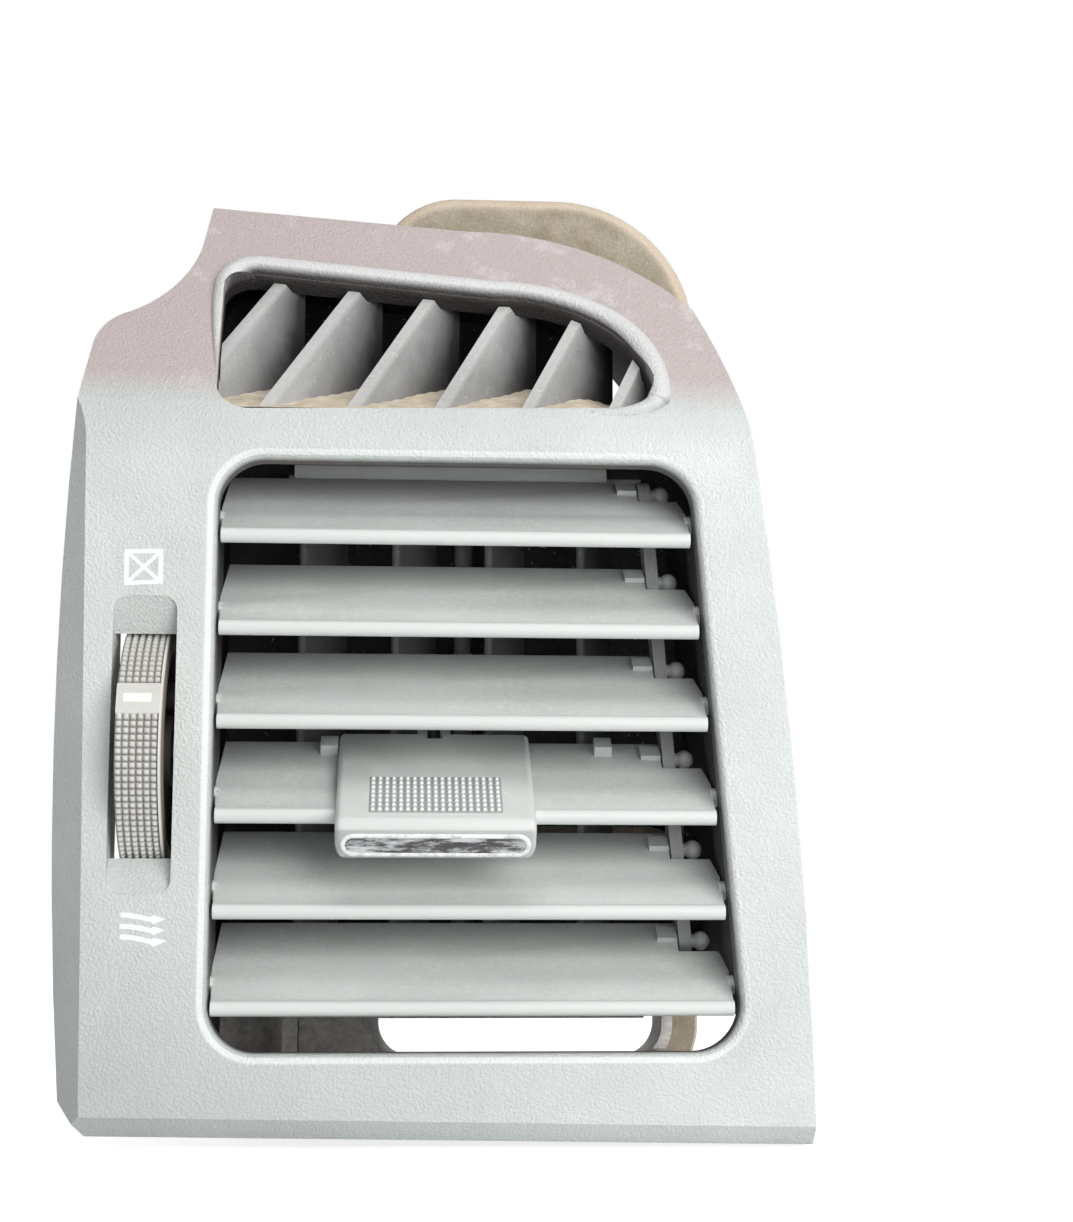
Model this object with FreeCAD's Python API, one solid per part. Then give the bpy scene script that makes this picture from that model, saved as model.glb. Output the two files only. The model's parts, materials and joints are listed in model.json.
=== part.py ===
import FreeCAD
import Part
import math
import os

# A dashboard air vent: a moulded fascia, a tall outlet with tilting louvres, vertical vanes behind
# them, a slide knob, a thumbwheel that works the shut-off flap, and a slanted demister outlet above.
# Sizes are in millimetres and degrees. X is to the right, Y goes into the dashboard, Z is up.
# While the pieces are made, Y is 0 on the fascia's flat front and Z is 0 half way up the louvres.

# Fascia
PANEL_WALL = 2.4
SKIRT_WALL = 2.2
SKIRT_DEPTH = 6.5
LEAN_DEG = 33.0
LEAN_ROOM = 4.8
BEND_R = 10.0
BEVEL_DEG = 50.0
LEFT_BEVEL_X = -43.9
LEFT_BEVEL_TURN = 1.1
BOTTOM_BEVEL_Z = -39.8
BOTTOM_BEVEL_TURN = 1.0
OUTLINE_START = (39.9, -42.7)
OUTLINE_STEPS = [
    ((38.3, -5.0), (34.4, 33.7)),
    ((32.2, 46.0), (28.2, 58.2)),
    ((17.6, 66.4), (0.5, 70.4)),
    ((-32.5, 73.5),),
    ((-33.2, 68.0),),
    ((-35.6, 61.4), (-41.2, 56.4)),
    ((-44.0, 54.4), (-45.2, 51.4)),
    ((-47.9, 8.0), (-46.0, -37.6)),
    ((-42.8, -41.4),),
    (OUTLINE_START,),
]

# Main outlet: a window whose right side leans outward towards the bottom
OUTLET_LEFT = -29.3
OUTLET_RIGHT_TOP = 26.2
OUTLET_RIGHT_BOTTOM = 32.0
OUTLET_TOP_ROOM = 8.95
OUTLET_BOTTOM_ROOM = 4.95
OUTLET_CORNER_R = 5.5
OUTLET_LIP_R = 1.5
RIM_WALL = 2.2
RIM_DEPTH = 3.8

# Duct housing behind the outlet, and its inlet collar
HOUSING_WALL = 1.6
HOUSING_TOP_ROOM = 2.7
HOUSING_BOTTOM_ROOM = 3.4
HOUSING_CORNER_R = 4.0
HOUSING_REAR_Y = 40.0
SIDE_PORT_FRONT_Y = 9.0
SIDE_PORT_OVER = 3.6
INLET_LEFT = -10.5
INLET_RIGHT = 30.4
INLET_TOP = 3.0
INLET_BOTTOM = -37.2
INLET_CORNER_R = 5.0
INLET_LENGTH = 36.0
INLET_SEAL_WALL = 4.0
INLET_SEAL_LENGTH = 9.0
COLLAR_PORT_LENGTH = 25.0
STOP_RIB_Y = 57.6
STOP_RIB_WALL = 2.0
STOP_RIB_HEIGHT = 9.0

# Mounting ears on the housing, and the screws that join the housing to the fascia
EAR_X = 37.6
EAR_Z = 22.0
EAR_Y = 34.0
EAR_R = 3.2
EAR_WALL = 2.4
EAR_HOLE_R = 1.65
SCREW_X = -37.2
SCREW_ZS = (36.5, -24.0)
SCREW_R = 1.2
SCREW_HEAD_R = 2.4
SCREW_HEAD_H = 1.5
SCREW_BOSS_R = 2.6
SCREW_BOSS_Y = 7.6
SCREW_TAB_WALL = 1.6
SCREW_DEPTH = 4.6
SCREW_END_GAP = 0.3
SLOT_LENGTH = 2.4
SLOT_WIDTH = 0.6
SLOT_DEPTH = 0.7
SCREW_FIT = 0.05

# Louvres
LOUVRE_COUNT = 6
LOUVRE_PITCH = 10.9
LOUVRE_TILT = 34.0
LOUVRE_CHORD = 17.6
LOUVRE_WALL = 1.2
LIP_R = 0.9
LIP_Y = 1.8
PIVOT_FROM_LIP = 4.5
PIVOT_R = 1.1
PIVOT_FIT = 0.06
PIVOT_END_GAP = 0.3
PIVOT_SUNK = 0.2
END_GAP = 0.35
REAR_TAPER = 1.2
TAPER_START = 2.0
STRIP_WALL = 1.6
STRIP_REAR_Y = 10.5
KNOB_LOUVRE = 3

# Crank pins and the bar that joins the louvres
CRANK_R = 9.0
CRANK_X = 21.0
CRANK_STEP = 0.92
CRANK_PIN_R = 0.8
CRANK_BALL_R = 1.15
CRANK_TAB_WIDTH = 2.4
CRANK_TAB_HALF = 1.2
CRANK_NOTCH = 3.1
LINK_WALL = 1.5
LINK_WIDTH = 3.4
LINK_GAP = 0.2
LINK_FIT = 0.06

# Knob, which slides along one louvre
KNOB_WIDTH = 22.9
KNOB_X = -3.65
KNOB_TRAVEL = 7.8
KNOB_NOSE = 4.4
KNOB_TOP = 2.3
KNOB_BOTTOM = -2.6
KNOB_LENGTH = 20.6
KNOB_TOP_R = 1.5
KNOB_LOW_R = 0.7
KNOB_CORNER_R = 0.8
KNOB_GAP = 0.2
KNOB_BASE_LENGTH = 11.0
SPINE_WIDTH = 8.0
SPINE_OVER = 1.6
GRIP_COLUMNS = 19
GRIP_ROWS = 8
GRIP_PITCH_X = 0.8
GRIP_PITCH_U = 0.98
GRIP_HEIGHT = 0.4
GRIP_FILL = 0.88
GRIP_SUNK = 0.05
GRIP_CENTRE_U = 1.9
INLAY_WIDTH = 21.4
INLAY_HEIGHT = 2.5
INLAY_WALL = 0.7
INLAY_MIDDLE = -0.6
INLAY_PROUD = 0.12
INLAY_CORNER_R = 1.1
STOP_WIDTH = 2.1
STOP_HEIGHT = 1.3
STOP_DEPTH = 2.4
STOP_GAP = 0.15
KNOB_NOTCH = 2.0
PAD_WIDTH = 6.0
PAD_LENGTH = 3.0
PAD_FROM_BACK = 5.0
PAD_GAP = 0.05
PAD_COVER = 0.5

# Vertical vanes, their driver and the bar that joins them
VANE_COUNT = 4
VANE_PITCH = 11.7
VANE_PIVOT_Y = 29.5
VANE_REST_DEG = 20.0
VANE_FRONT = 9.0
VANE_REAR = 5.5
VANE_WALL = 1.1
VANE_TOP_ROOM = 0.7
VANE_BOTTOM_ROOM = 4.8
VANE_PIN_R = 1.0
VANE_PIN_FIT = 0.06
VANE_PIN_END_GAP = 0.2
VANE_TURN_DEG = 45.0
BEARING_WALL = 1.6
BEARING_GAP = 0.3
BEARING_FRONT = 7.0
BEARING_REAR = 4.0
BEARING_END = 5.0
BEARING_TONGUE = 6.0
BEARING_LEG = 2.0
VANE_CRANK = 3.0
VANE_CRANK_PIN_R = 0.7
VANE_LINK_TOP = -18.0
VANE_LINK_WALL = 1.2
VANE_LINK_WIDTH = 2.6
VANE_LINK_ROOM = 1.2
VANE_NOTCH_START = 0.9
DRIVER_ROD_R = 0.65
DRIVER_SHAFT_R = 1.2
DRIVER_ARM_WALL = 1.5
DRIVER_ARM_R = 1.0
DRIVER_TOP = 10.0
DRIVER_BOTTOM = -13.6
FORK_GAP = 0.16
FORK_WALL = 1.2
FORK_STEP = 0.4
FORK_SLOT = 4.5
FORK_REACH = 18.1

# Thumbwheel, shut-off flap and the rod between them
WHEEL_R = 15.0
WHEEL_LEFT = -39.9
WHEEL_WIDTH = 5.3
WHEEL_Y = 10.8
WHEEL_Z = 2.6
WHEEL_GAP = 0.45
WHEEL_SIDE_GAP = 1.0
WHEEL_WEB = 2.6
WHEEL_RIM = 3.0
WHEEL_HUB_R = 4.2
WHEEL_RIBS = 96
WHEEL_RIB_DEPTH = 0.35
RAMP_LENGTH = 4.2
RAMP_DEPTH = 2.4
RAMP_CORNER_R = 1.8
POCKET_WALL = 1.4
GUARD_REAR_Y = 7.2
AXLE_R = 2.0
AXLE_FIT = 0.06
AXLE_HEAD_R = 3.2
AXLE_HEAD_H = 0.9
AXLE_COLLAR_R = 2.6
AXLE_END_GAP = 0.3
AXLE_SUNK = 1.2
MARK_WIDTH = 3.2
MARK_HEIGHT = 1.1
MARK_DEG = 19.3
MARK_WALL = 0.5
MARK_INSET = 0.8
MARK_PROUD = 0.02
ROD_CRANK = 7.0
ROD_CRANK_DEG = 70.7
ROD_PIN_R = 1.3
ROD_BOSS_WALL = 0.9
ROD_PIN_OVER = 0.2
ROD_SIDE_GAP = 0.4
ROD_WALL = 1.2
ROD_WIDTH = 4.4
ROD_FIT = 0.06
FLAP_Y = 58.0
FLAP_REST_DEG = -35.0
FLAP_WALL = 1.6
FLAP_GAP = 0.4
FLAP_HALF = 20.0
FLAP_SHAFT_R = 2.0
FLAP_SHAFT_OVER = 0.6
FLAP_SHAFT_SLOT = 0.3
FLAP_SEAL_WALL = 3.0
FLAP_SEAL_PROUD = 0.4
SHAFT_BRACKET_X = -31.0
SHAFT_BRACKET_WALL = 2.0
SHAFT_BRACKET_R = 5.0
LEVER_WALL = 1.4
LEVER_HALF = 1.8

# Demister outlet in the leaning part of the fascia, measured along the face from the bend line
DEMISTER_START = (-26.2, 1.6)
DEMISTER_STEPS = [
    ((18.0, 2.5),),
    ((21.0, 3.9), (22.2, 7.2)),
    ((17.6, 15.9), (3.3, 21.7)),
    ((-26.0, 25.6),),
    ((-29.0, 24.6), (-30.1, 22.0)),
    ((-30.0, 5.4),),
    ((-28.8, 2.8), DEMISTER_START),
]
BEAD_START = (22.7, 4.4)
BEAD_STEPS = [
    ((22.1, 11.2), (17.4, 18.4)),
    ((11.2, 21.9), (3.4, 23.3)),
    ((-25.6, 27.2),),
    ((-28.7, 26.2), (-30.0, 23.0)),
]
BEAD_R = 1.45
BEAD_SUNK = 0.1
GRILLE_COUNT = 6
GRILLE_PITCH = 10.44
GRILLE_FIRST_X = -36.7
GRILLE_SLANT = 0.92
GRILLE_SLANT_STEP = 0.04
GRILLE_WALL = 1.1
GRILLE_REAR_Y = 17.0
GRILLE_RECESS = 0.9
GRILLE_GAP = 0.15
GRILLE_FRAME_WALL = 0.8
GRILLE_FRAME_DEPTH = 2.0
DEMISTER_WALL = 1.6
DEMISTER_MARGIN = 3.1
DEMISTER_REAR_Y = 30.0
COLLAR_LEFT = -8.8
COLLAR_RIGHT = 27.7
COLLAR_BOTTOM_ROOM = 5.4
COLLAR_TOP = 75.0
COLLAR_CORNER_R = 8.0
COLLAR_LARGE_R = 15.5
COLLAR_END_Y = 40.0
PORT_LEFT = 15.0
FOAM_WALL = 3.0
FOAM_FRONT_Y = 26.4
FOAM_EDGE_R = 2.6

# Reach of the blocks that only cut other shapes, how far a cut passes the face it opens, and the
# distance below which two places count as one
FAR = 130.0
CUT_OVER = 1.0
SMALL = 0.01

# Sizes that follow from the ones above
LEAN = math.radians(LEAN_DEG)
TOP_LIP_Z = (LOUVRE_COUNT - 1) / 2.0 * LOUVRE_PITCH
OUTLET_TOP = TOP_LIP_Z + OUTLET_TOP_ROOM
OUTLET_BOTTOM = -TOP_LIP_Z - OUTLET_BOTTOM_ROOM
HOUSING_TOP = OUTLET_TOP + HOUSING_TOP_ROOM
HOUSING_BOTTOM = OUTLET_BOTTOM - HOUSING_BOTTOM_ROOM
SIDE_PORT_TOP = OUTLET_BOTTOM + SIDE_PORT_OVER
VANE_TOP = OUTLET_TOP + VANE_TOP_ROOM
VANE_BOTTOM = OUTLET_BOTTOM + VANE_BOTTOM_ROOM
LEAN_START_Z = OUTLET_TOP + LEAN_ROOM
DEMISTER_BOTTOM = LEAN_START_Z
COLLAR_BOTTOM = LEAN_START_Z + COLLAR_BOTTOM_ROOM
OUTLET_SLOPE = (OUTLET_RIGHT_BOTTOM - OUTLET_RIGHT_TOP) / (OUTLET_TOP - OUTLET_BOTTOM)
TILT = math.radians(LOUVRE_TILT)
PIVOT_Y = LIP_Y + PIVOT_FROM_LIP * math.cos(TILT)
PIVOT_U = LIP_R + PIVOT_FROM_LIP
KNOB_BACK = KNOB_LENGTH - KNOB_NOSE
WHEEL_RIGHT = WHEEL_LEFT + WHEEL_WIDTH
SLOT_LEFT = WHEEL_LEFT - WHEEL_SIDE_GAP
SLOT_RIGHT = WHEEL_RIGHT + WHEEL_SIDE_GAP
ROD_X = WHEEL_RIGHT + ROD_SIDE_GAP
HOUSING_LEFT = OUTLET_LEFT - STRIP_WALL - HOUSING_WALL
AXLE_END_X = HOUSING_LEFT + AXLE_SUNK
LEVER_LEFT = ROD_X + ROD_WALL + ROD_SIDE_GAP
FLAP_Z = (INLET_TOP + INLET_BOTTOM) / 2.0
INLET_END_Y = HOUSING_REAR_Y + HOUSING_WALL + INLET_LENGTH
VANE_CENTRE_X = KNOB_X + KNOB_TRAVEL / 2.0
DRIVER_LEVER = KNOB_TRAVEL / 2.0 / math.sin(math.radians(VANE_TURN_DEG / 2.0))


def vector(x, y, z):
    return FreeCAD.Vector(x, y, z)


def block(x0, x1, y0, y1, z0, z1):
    return Part.makeBox(x1 - x0, y1 - y0, z1 - z0, vector(x0, y0, z0))


def rod_x(radius, x0, x1, y, z):
    return Part.makeCylinder(radius, x1 - x0, vector(x0, y, z), vector(1, 0, 0))


def rod_y(radius, y0, y1, x, z):
    return Part.makeCylinder(radius, y1 - y0, vector(x, y0, z), vector(0, 1, 0))


def rod_z(radius, z0, z1, x, y):
    return Part.makeCylinder(radius, z1 - z0, vector(x, y, z0), vector(0, 0, 1))


def fuse(shapes):
    """One solid from shapes that touch or overlap."""
    shapes = list(shapes)
    joined = shapes[0].multiFuse(shapes[1:]) if len(shapes) > 1 else shapes[0]
    return joined.removeSplitter()


def outline_edges(start, steps):
    """Edges in the XZ plane. A step of one point is a line, one of two points an arc through them."""
    edges = []
    here = vector(start[0], 0, start[1])
    for step in steps:
        points = [vector(x, 0, z) for x, z in step]
        if len(points) == 1:
            edges.append(Part.makeLine(here, points[0]))
        else:
            edges.append(Part.Arc(here, points[0], points[1]).toShape())
        here = points[-1]
    return edges


def outline_face(start, steps):
    return Part.Face(Part.Wire(outline_edges(start, steps)))


def round_bead(start, steps, radius):
    """Round rod along an open outline, with ball ends."""
    edges = outline_edges(start, steps)
    first = edges[0]
    begin = vector(start[0], 0, start[1])
    end = vector(steps[-1][-1][0], 0, steps[-1][-1][1])
    ring = Part.makeCircle(radius, begin, first.tangentAt(first.FirstParameter))
    rod = Part.Wire(edges).makePipeShell([Part.Wire(ring)], True, False, 0)
    return fuse([rod, Part.makeSphere(radius, begin), Part.makeSphere(radius, end)])


def grown(face, distance):
    """The face with its edge moved outward by the distance, or inward if it is negative."""
    return face.makeOffset2D(distance, 2)


def along_y(face, y0, y1):
    moved = face.copy()
    moved.translate(vector(0, y0, 0))
    return moved.extrude(vector(0, y1 - y0, 0))


def section_x(points, x0, x1):
    """Prism along X from (y, z) points."""
    corners = [vector(x0, y, z) for y, z in points]
    face = Part.Face(Part.makePolygon(corners + corners[:1]))
    return face.extrude(vector(x1 - x0, 0, 0))


def rounded_window(left, right_top, right_bottom, bottom, top, radius):
    """Face in the XZ plane: a four-sided window with round corners and a right side that may lean."""
    corners = [vector(left, 0, bottom), vector(right_bottom, 0, bottom)]
    corners += [vector(right_top, 0, top), vector(left, 0, top)]
    plain = Part.Face(Part.makePolygon(corners + corners[:1]))
    return grown(plain, -radius).makeOffset2D(radius, 0)


def outlet_right(z):
    """X of the outlet's right side at a height."""
    return OUTLET_RIGHT_TOP + (OUTLET_TOP - z) * OUTLET_SLOPE


def outlet_window(extra):
    return rounded_window(OUTLET_LEFT - extra, OUTLET_RIGHT_TOP + extra, OUTLET_RIGHT_BOTTOM + extra,
                          OUTLET_BOTTOM - extra, OUTLET_TOP + extra, OUTLET_CORNER_R + extra)


def duct_window(extra):
    """The housing's section: as wide as the outlet plus the pivot strips, grown by the extra."""
    left = OUTLET_LEFT - STRIP_WALL - extra
    right_top = outlet_right(HOUSING_TOP) + STRIP_WALL + extra
    right_bottom = outlet_right(HOUSING_BOTTOM) + STRIP_WALL + extra
    return rounded_window(left, right_top, right_bottom, HOUSING_BOTTOM - extra,
                          HOUSING_TOP + extra, HOUSING_CORNER_R + extra)


def inlet_window(extra):
    return rounded_window(INLET_LEFT - extra, INLET_RIGHT + extra, INLET_RIGHT + extra,
                          INLET_BOTTOM - extra, INLET_TOP + extra, INLET_CORNER_R + extra)


def lean_back(shape):
    """Moves a shape made upright, with its bend line at z = 0, onto the leaning face."""
    moved = shape.copy()
    moved.rotate(vector(0, 0, 0), vector(1, 0, 0), -LEAN_DEG)
    moved.translate(vector(0, 0, LEAN_START_Z))
    return moved


def panel_region(front, rear):
    """Everything between the face moved back by front and the face moved back by rear."""
    half = LEAN / 2.0
    radius = BEND_R - front
    centre_y = BEND_R
    centre_z = LEAN_START_Z - BEND_R * math.tan(half)

    def leaning(distance, along):
        y = along * math.sin(LEAN) + distance * math.cos(LEAN)
        z = LEAN_START_Z + along * math.cos(LEAN) - distance * math.sin(LEAN)
        return vector(0, y, z)

    def on_bend(angle):
        y = centre_y - radius * math.cos(angle)
        z = centre_z + radius * math.sin(angle)
        return vector(0, y, z)

    bottom = vector(0, front, -FAR)
    top = leaning(front, FAR)
    rear_top = leaning(rear, FAR)
    rear_bend = vector(0, rear, LEAN_START_Z - rear * math.tan(half))
    rear_bottom = vector(0, rear, -FAR)
    edges = [
        Part.makeLine(bottom, on_bend(0)),
        Part.Arc(on_bend(0), on_bend(half), on_bend(LEAN)).toShape(),
        Part.makeLine(on_bend(LEAN), top),
        Part.makeLine(top, rear_top),
        Part.makeLine(rear_top, rear_bend),
        Part.makeLine(rear_bend, rear_bottom),
        Part.makeLine(rear_bottom, bottom),
    ]
    face = Part.Face(Part.Wire(edges))
    face.translate(vector(-FAR, 0, 0))
    return face.extrude(vector(2 * FAR, 0, 0))


def bevels(inward):
    """The two wedges that the left and bottom bevels take off, moved inward by a distance."""
    slope = math.tan(math.radians(BEVEL_DEG))
    shift = inward / math.sin(math.radians(BEVEL_DEG))
    wedge = section_x([(0, 0), (-FAR, 0), (-FAR, -FAR), (FAR * slope, -FAR)], -FAR, FAR)
    bottom = wedge.copy()
    bottom.rotate(vector(0, 0, 0), vector(0, 1, 0), BOTTOM_BEVEL_TURN)
    bottom.translate(vector(0, 0, BOTTOM_BEVEL_Z + shift))
    left = wedge.copy()
    left.rotate(vector(0, 0, 0), vector(0, 1, 0), 90 - LEFT_BEVEL_TURN)
    left.translate(vector(LEFT_BEVEL_X + shift, 0, 0))
    return [bottom, left]


def wheel_room():
    """The space that the thumbwheel turns in, with its clearance."""
    return rod_x(WHEEL_R + WHEEL_GAP, SLOT_LEFT, SLOT_RIGHT, WHEEL_Y, WHEEL_Z)


def slot_half():
    """Half the height of the wheel's slot where the finger ramps meet it."""
    return math.sqrt((WHEEL_R + WHEEL_GAP) ** 2 - (WHEEL_Y - RAMP_DEPTH) ** 2)


def finger_ramps():
    """Hollows with round outer corners that slope down into the wheel's slot from above and below."""
    half = slot_half()
    reach = half + RAMP_LENGTH
    points = [(-CUT_OVER, WHEEL_Z - reach), (-CUT_OVER, WHEEL_Z + reach), (0, WHEEL_Z + reach)]
    points += [(RAMP_DEPTH, WHEEL_Z + half), (RAMP_DEPTH, WHEEL_Z - half), (0, WHEEL_Z - reach)]
    window = rounded_window(SLOT_LEFT, SLOT_RIGHT, SLOT_RIGHT, WHEEL_Z - reach, WHEEL_Z + reach, RAMP_CORNER_R)
    return section_x(points, SLOT_LEFT, SLOT_RIGHT).common(along_y(window, -CUT_OVER, RAMP_DEPTH))


def wheel_surround():
    """Backing behind the finger ramps, and a guard wall on the slot's left side."""
    reach = slot_half() + RAMP_LENGTH + POCKET_WALL
    low = WHEEL_Z - reach
    high = WHEEL_Z + reach
    front = PANEL_WALL / 2
    left = SLOT_LEFT - POCKET_WALL
    return [block(left, SLOT_RIGHT + POCKET_WALL, front, RIM_DEPTH, low, high),
            block(left, SLOT_LEFT, front, GUARD_REAR_Y, low, high)]


def front_edges(shape, inside):
    """Edges on the flat front face that lie within a box given as x0, x1, z0, z1."""
    x0, x1, z0, z1 = inside
    found = []
    for edge in shape.Edges:
        box = edge.BoundBox
        flat = abs(box.YMin) < SMALL and abs(box.YMax) < SMALL
        if flat and box.XMin > x0 and box.XMax < x1 and box.ZMin > z0 and box.ZMax < z1:
            found.append(edge)
    return found


def fascia_body():
    """The fascia's outer shape, solid."""
    outline = outline_face(OUTLINE_START, OUTLINE_STEPS)
    return panel_region(0, SKIRT_DEPTH).common(along_y(outline, -FAR, FAR))


def fascia_panel():
    outline = outline_face(OUTLINE_START, OUTLINE_STEPS)
    body = fascia_body()
    hollow = panel_region(PANEL_WALL, 2 * FAR).common(along_y(grown(outline, -SKIRT_WALL), -FAR, FAR))
    for wedge in bevels(0):
        body = body.cut(wedge)
    for wedge in bevels(PANEL_WALL):
        hollow = hollow.cut(wedge)
    panel = body.cut(hollow)
    rim = along_y(outlet_window(RIM_WALL), PANEL_WALL / 2, RIM_DEPTH)
    bosses = [rod_y(SCREW_BOSS_R, PANEL_WALL / 2, SCREW_BOSS_Y, SCREW_X, z) for z in SCREW_ZS]
    panel = fuse([panel, rim] + bosses + wheel_surround())
    panel = panel.cut(along_y(outlet_window(0), -CUT_OVER, RIM_DEPTH))
    reach = OUTLET_LIP_R
    around = (OUTLET_LEFT - reach, OUTLET_RIGHT_BOTTOM + reach, OUTLET_BOTTOM - reach, OUTLET_TOP + reach)
    panel = panel.makeFillet(OUTLET_LIP_R, front_edges(panel, around))
    bead = round_bead(BEAD_START, BEAD_STEPS, BEAD_R)
    bead.translate(vector(0, BEAD_SUNK, 0))
    opening = along_y(outline_face(DEMISTER_START, DEMISTER_STEPS), -SKIRT_DEPTH, SKIRT_DEPTH)
    panel = fuse([panel, lean_back(bead)])
    panel = panel.cut(lean_back(opening))
    panel = panel.cut(wheel_room())
    panel = panel.cut(finger_ramps())
    for z in SCREW_ZS:
        hole = rod_y(SCREW_R + SCREW_FIT, SCREW_BOSS_Y - SCREW_DEPTH, SCREW_BOSS_Y, SCREW_X, z)
        panel = panel.cut(hole)
    return panel


def housing_screws():
    screws = []
    head_y = SCREW_BOSS_Y + SCREW_TAB_WALL
    for z in SCREW_ZS:
        top_y = head_y + SCREW_HEAD_H
        shank = rod_y(SCREW_R, SCREW_BOSS_Y - SCREW_DEPTH + SCREW_END_GAP, top_y, SCREW_X, z)
        screw = fuse([shank, rod_y(SCREW_HEAD_R, head_y, top_y, SCREW_X, z)])
        for half_x, half_z in ((SLOT_LENGTH / 2, SLOT_WIDTH / 2), (SLOT_WIDTH / 2, SLOT_LENGTH / 2)):
            screw = screw.cut(block(SCREW_X - half_x, SCREW_X + half_x, top_y - SLOT_DEPTH, top_y,
                                    z - half_z, z + half_z))
        screws.append(screw)
    return Part.makeCompound(screws)


def duct_housing():
    end_y = HOUSING_REAR_Y + HOUSING_WALL
    shell = along_y(duct_window(HOUSING_WALL), RIM_DEPTH, end_y)
    extras = []
    for z in SCREW_ZS:
        extras.append(rod_y(SCREW_BOSS_R, SCREW_BOSS_Y, SCREW_BOSS_Y + SCREW_TAB_WALL, SCREW_X, z))
        extras.append(block(SCREW_X, HOUSING_LEFT + HOUSING_WALL / 2, SCREW_BOSS_Y,
                            SCREW_BOSS_Y + SCREW_TAB_WALL, z - SCREW_BOSS_R, z + SCREW_BOSS_R))
    for z in (EAR_Z, -EAR_Z):
        right = outlet_right(z) + STRIP_WALL + HOUSING_WALL
        for side, wall_x in ((-1, HOUSING_LEFT), (1, right)):
            x = side * EAR_X
            inner = wall_x - side * HOUSING_WALL / 2
            extras.append(rod_y(EAR_R, EAR_Y, EAR_Y + EAR_WALL, x, z))
            extras.append(block(min(x, inner), max(x, inner), EAR_Y, EAR_Y + EAR_WALL, z - EAR_R, z + EAR_R))
    housing = fuse([shell] + extras)
    housing = housing.cut(along_y(duct_window(0), 0, HOUSING_REAR_Y))
    housing = housing.cut(along_y(inlet_window(0), HOUSING_REAR_Y - CUT_OVER, end_y + CUT_OVER))
    port_left = outlet_right(SIDE_PORT_TOP) - HOUSING_CORNER_R / 2
    port = block(port_left, FAR, SIDE_PORT_FRONT_Y, end_y + CUT_OVER, HOUSING_BOTTOM, SIDE_PORT_TOP)
    housing = housing.cut(port)
    housing = housing.cut(rod_x(AXLE_R + AXLE_FIT, HOUSING_LEFT - CUT_OVER, AXLE_END_X, WHEEL_Y, WHEEL_Z))
    for z in (EAR_Z, -EAR_Z):
        for x in (EAR_X, -EAR_X):
            housing = housing.cut(rod_y(EAR_HOLE_R, EAR_Y, EAR_Y + EAR_WALL, x, z))
    for z in SCREW_ZS:
        housing = housing.cut(rod_y(SCREW_R + SCREW_FIT, SCREW_BOSS_Y, SCREW_BOSS_Y + SCREW_TAB_WALL,
                                    SCREW_X, z))
    return housing


def inlet_collar():
    """Duct piece on the housing's rear wall, with the rib that the flap closes against."""
    start = HOUSING_REAR_Y + HOUSING_WALL
    collar = along_y(inlet_window(HOUSING_WALL), start, INLET_END_Y)
    collar = collar.cut(along_y(inlet_window(0), start, INLET_END_Y))
    rib = along_y(inlet_window(HOUSING_WALL / 2), STOP_RIB_Y, STOP_RIB_Y + STOP_RIB_WALL)
    rib = rib.common(block(-FAR, FAR, 0, FAR, INLET_TOP - STOP_RIB_HEIGHT, FAR))
    port_left = INLET_RIGHT - INLET_CORNER_R / 2
    port = block(port_left, FAR, start, start + COLLAR_PORT_LENGTH, HOUSING_BOTTOM, SIDE_PORT_TOP)
    collar = fuse([collar, rib]).cut(port)
    return collar.cut(rod_x(FLAP_SHAFT_R + AXLE_FIT, -FAR, FAR, FLAP_Y, FLAP_Z))


def shaft_bracket():
    """Arm on the housing's rear wall that carries the flap shaft's left end."""
    right = SHAFT_BRACKET_X + SHAFT_BRACKET_WALL
    arm = block(SHAFT_BRACKET_X, right, HOUSING_REAR_Y + HOUSING_WALL, FLAP_Y,
                FLAP_Z - SHAFT_BRACKET_R, FLAP_Z + SHAFT_BRACKET_R)
    bracket = fuse([arm, rod_x(SHAFT_BRACKET_R, SHAFT_BRACKET_X, right, FLAP_Y, FLAP_Z)])
    return bracket.cut(rod_x(FLAP_SHAFT_R + AXLE_FIT, SHAFT_BRACKET_X, right, FLAP_Y, FLAP_Z))


def inlet_seal():
    start = INLET_END_Y - INLET_SEAL_LENGTH
    ring = along_y(inlet_window(HOUSING_WALL + INLET_SEAL_WALL), start, INLET_END_Y)
    return ring.cut(along_y(inlet_window(HOUSING_WALL), start, INLET_END_Y))


def lip_z(index):
    return TOP_LIP_Z - index * LOUVRE_PITCH


def pivot_z(index):
    return lip_z(index) + PIVOT_FROM_LIP * math.sin(TILT)


def tilted(shape, index):
    """Moves a shape made in a louvre's own axes (Y from lip to rear, Z up from its mid plane)."""
    moved = shape.copy()
    moved.translate(vector(0, -PIVOT_U, 0))
    moved.rotate(vector(0, 0, 0), vector(1, 0, 0), LOUVRE_TILT)
    moved.translate(vector(0, PIVOT_Y, pivot_z(index)))
    return moved


def crank_left(index):
    """X of the face that a louvre's crank pin stands on."""
    return CRANK_X + index * CRANK_STEP


def louvre_section(x0, x1):
    """Round lip in front, flat blade, round rear edge."""
    half = LOUVRE_WALL / 2
    lip = rod_x(LIP_R, x0, x1, LIP_R, 0)
    blade = block(x0, x1, LIP_R, LOUVRE_CHORD - half, -half, half)
    rear = rod_x(half, x0, x1, LOUVRE_CHORD - half, 0)
    return fuse([lip, blade, rear])


def louvre_right(index):
    """X of a louvre's right end, clear of the leaning wall over the whole tilt."""
    return outlet_right(pivot_z(index) + PIVOT_FROM_LIP / 2) - END_GAP


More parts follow.
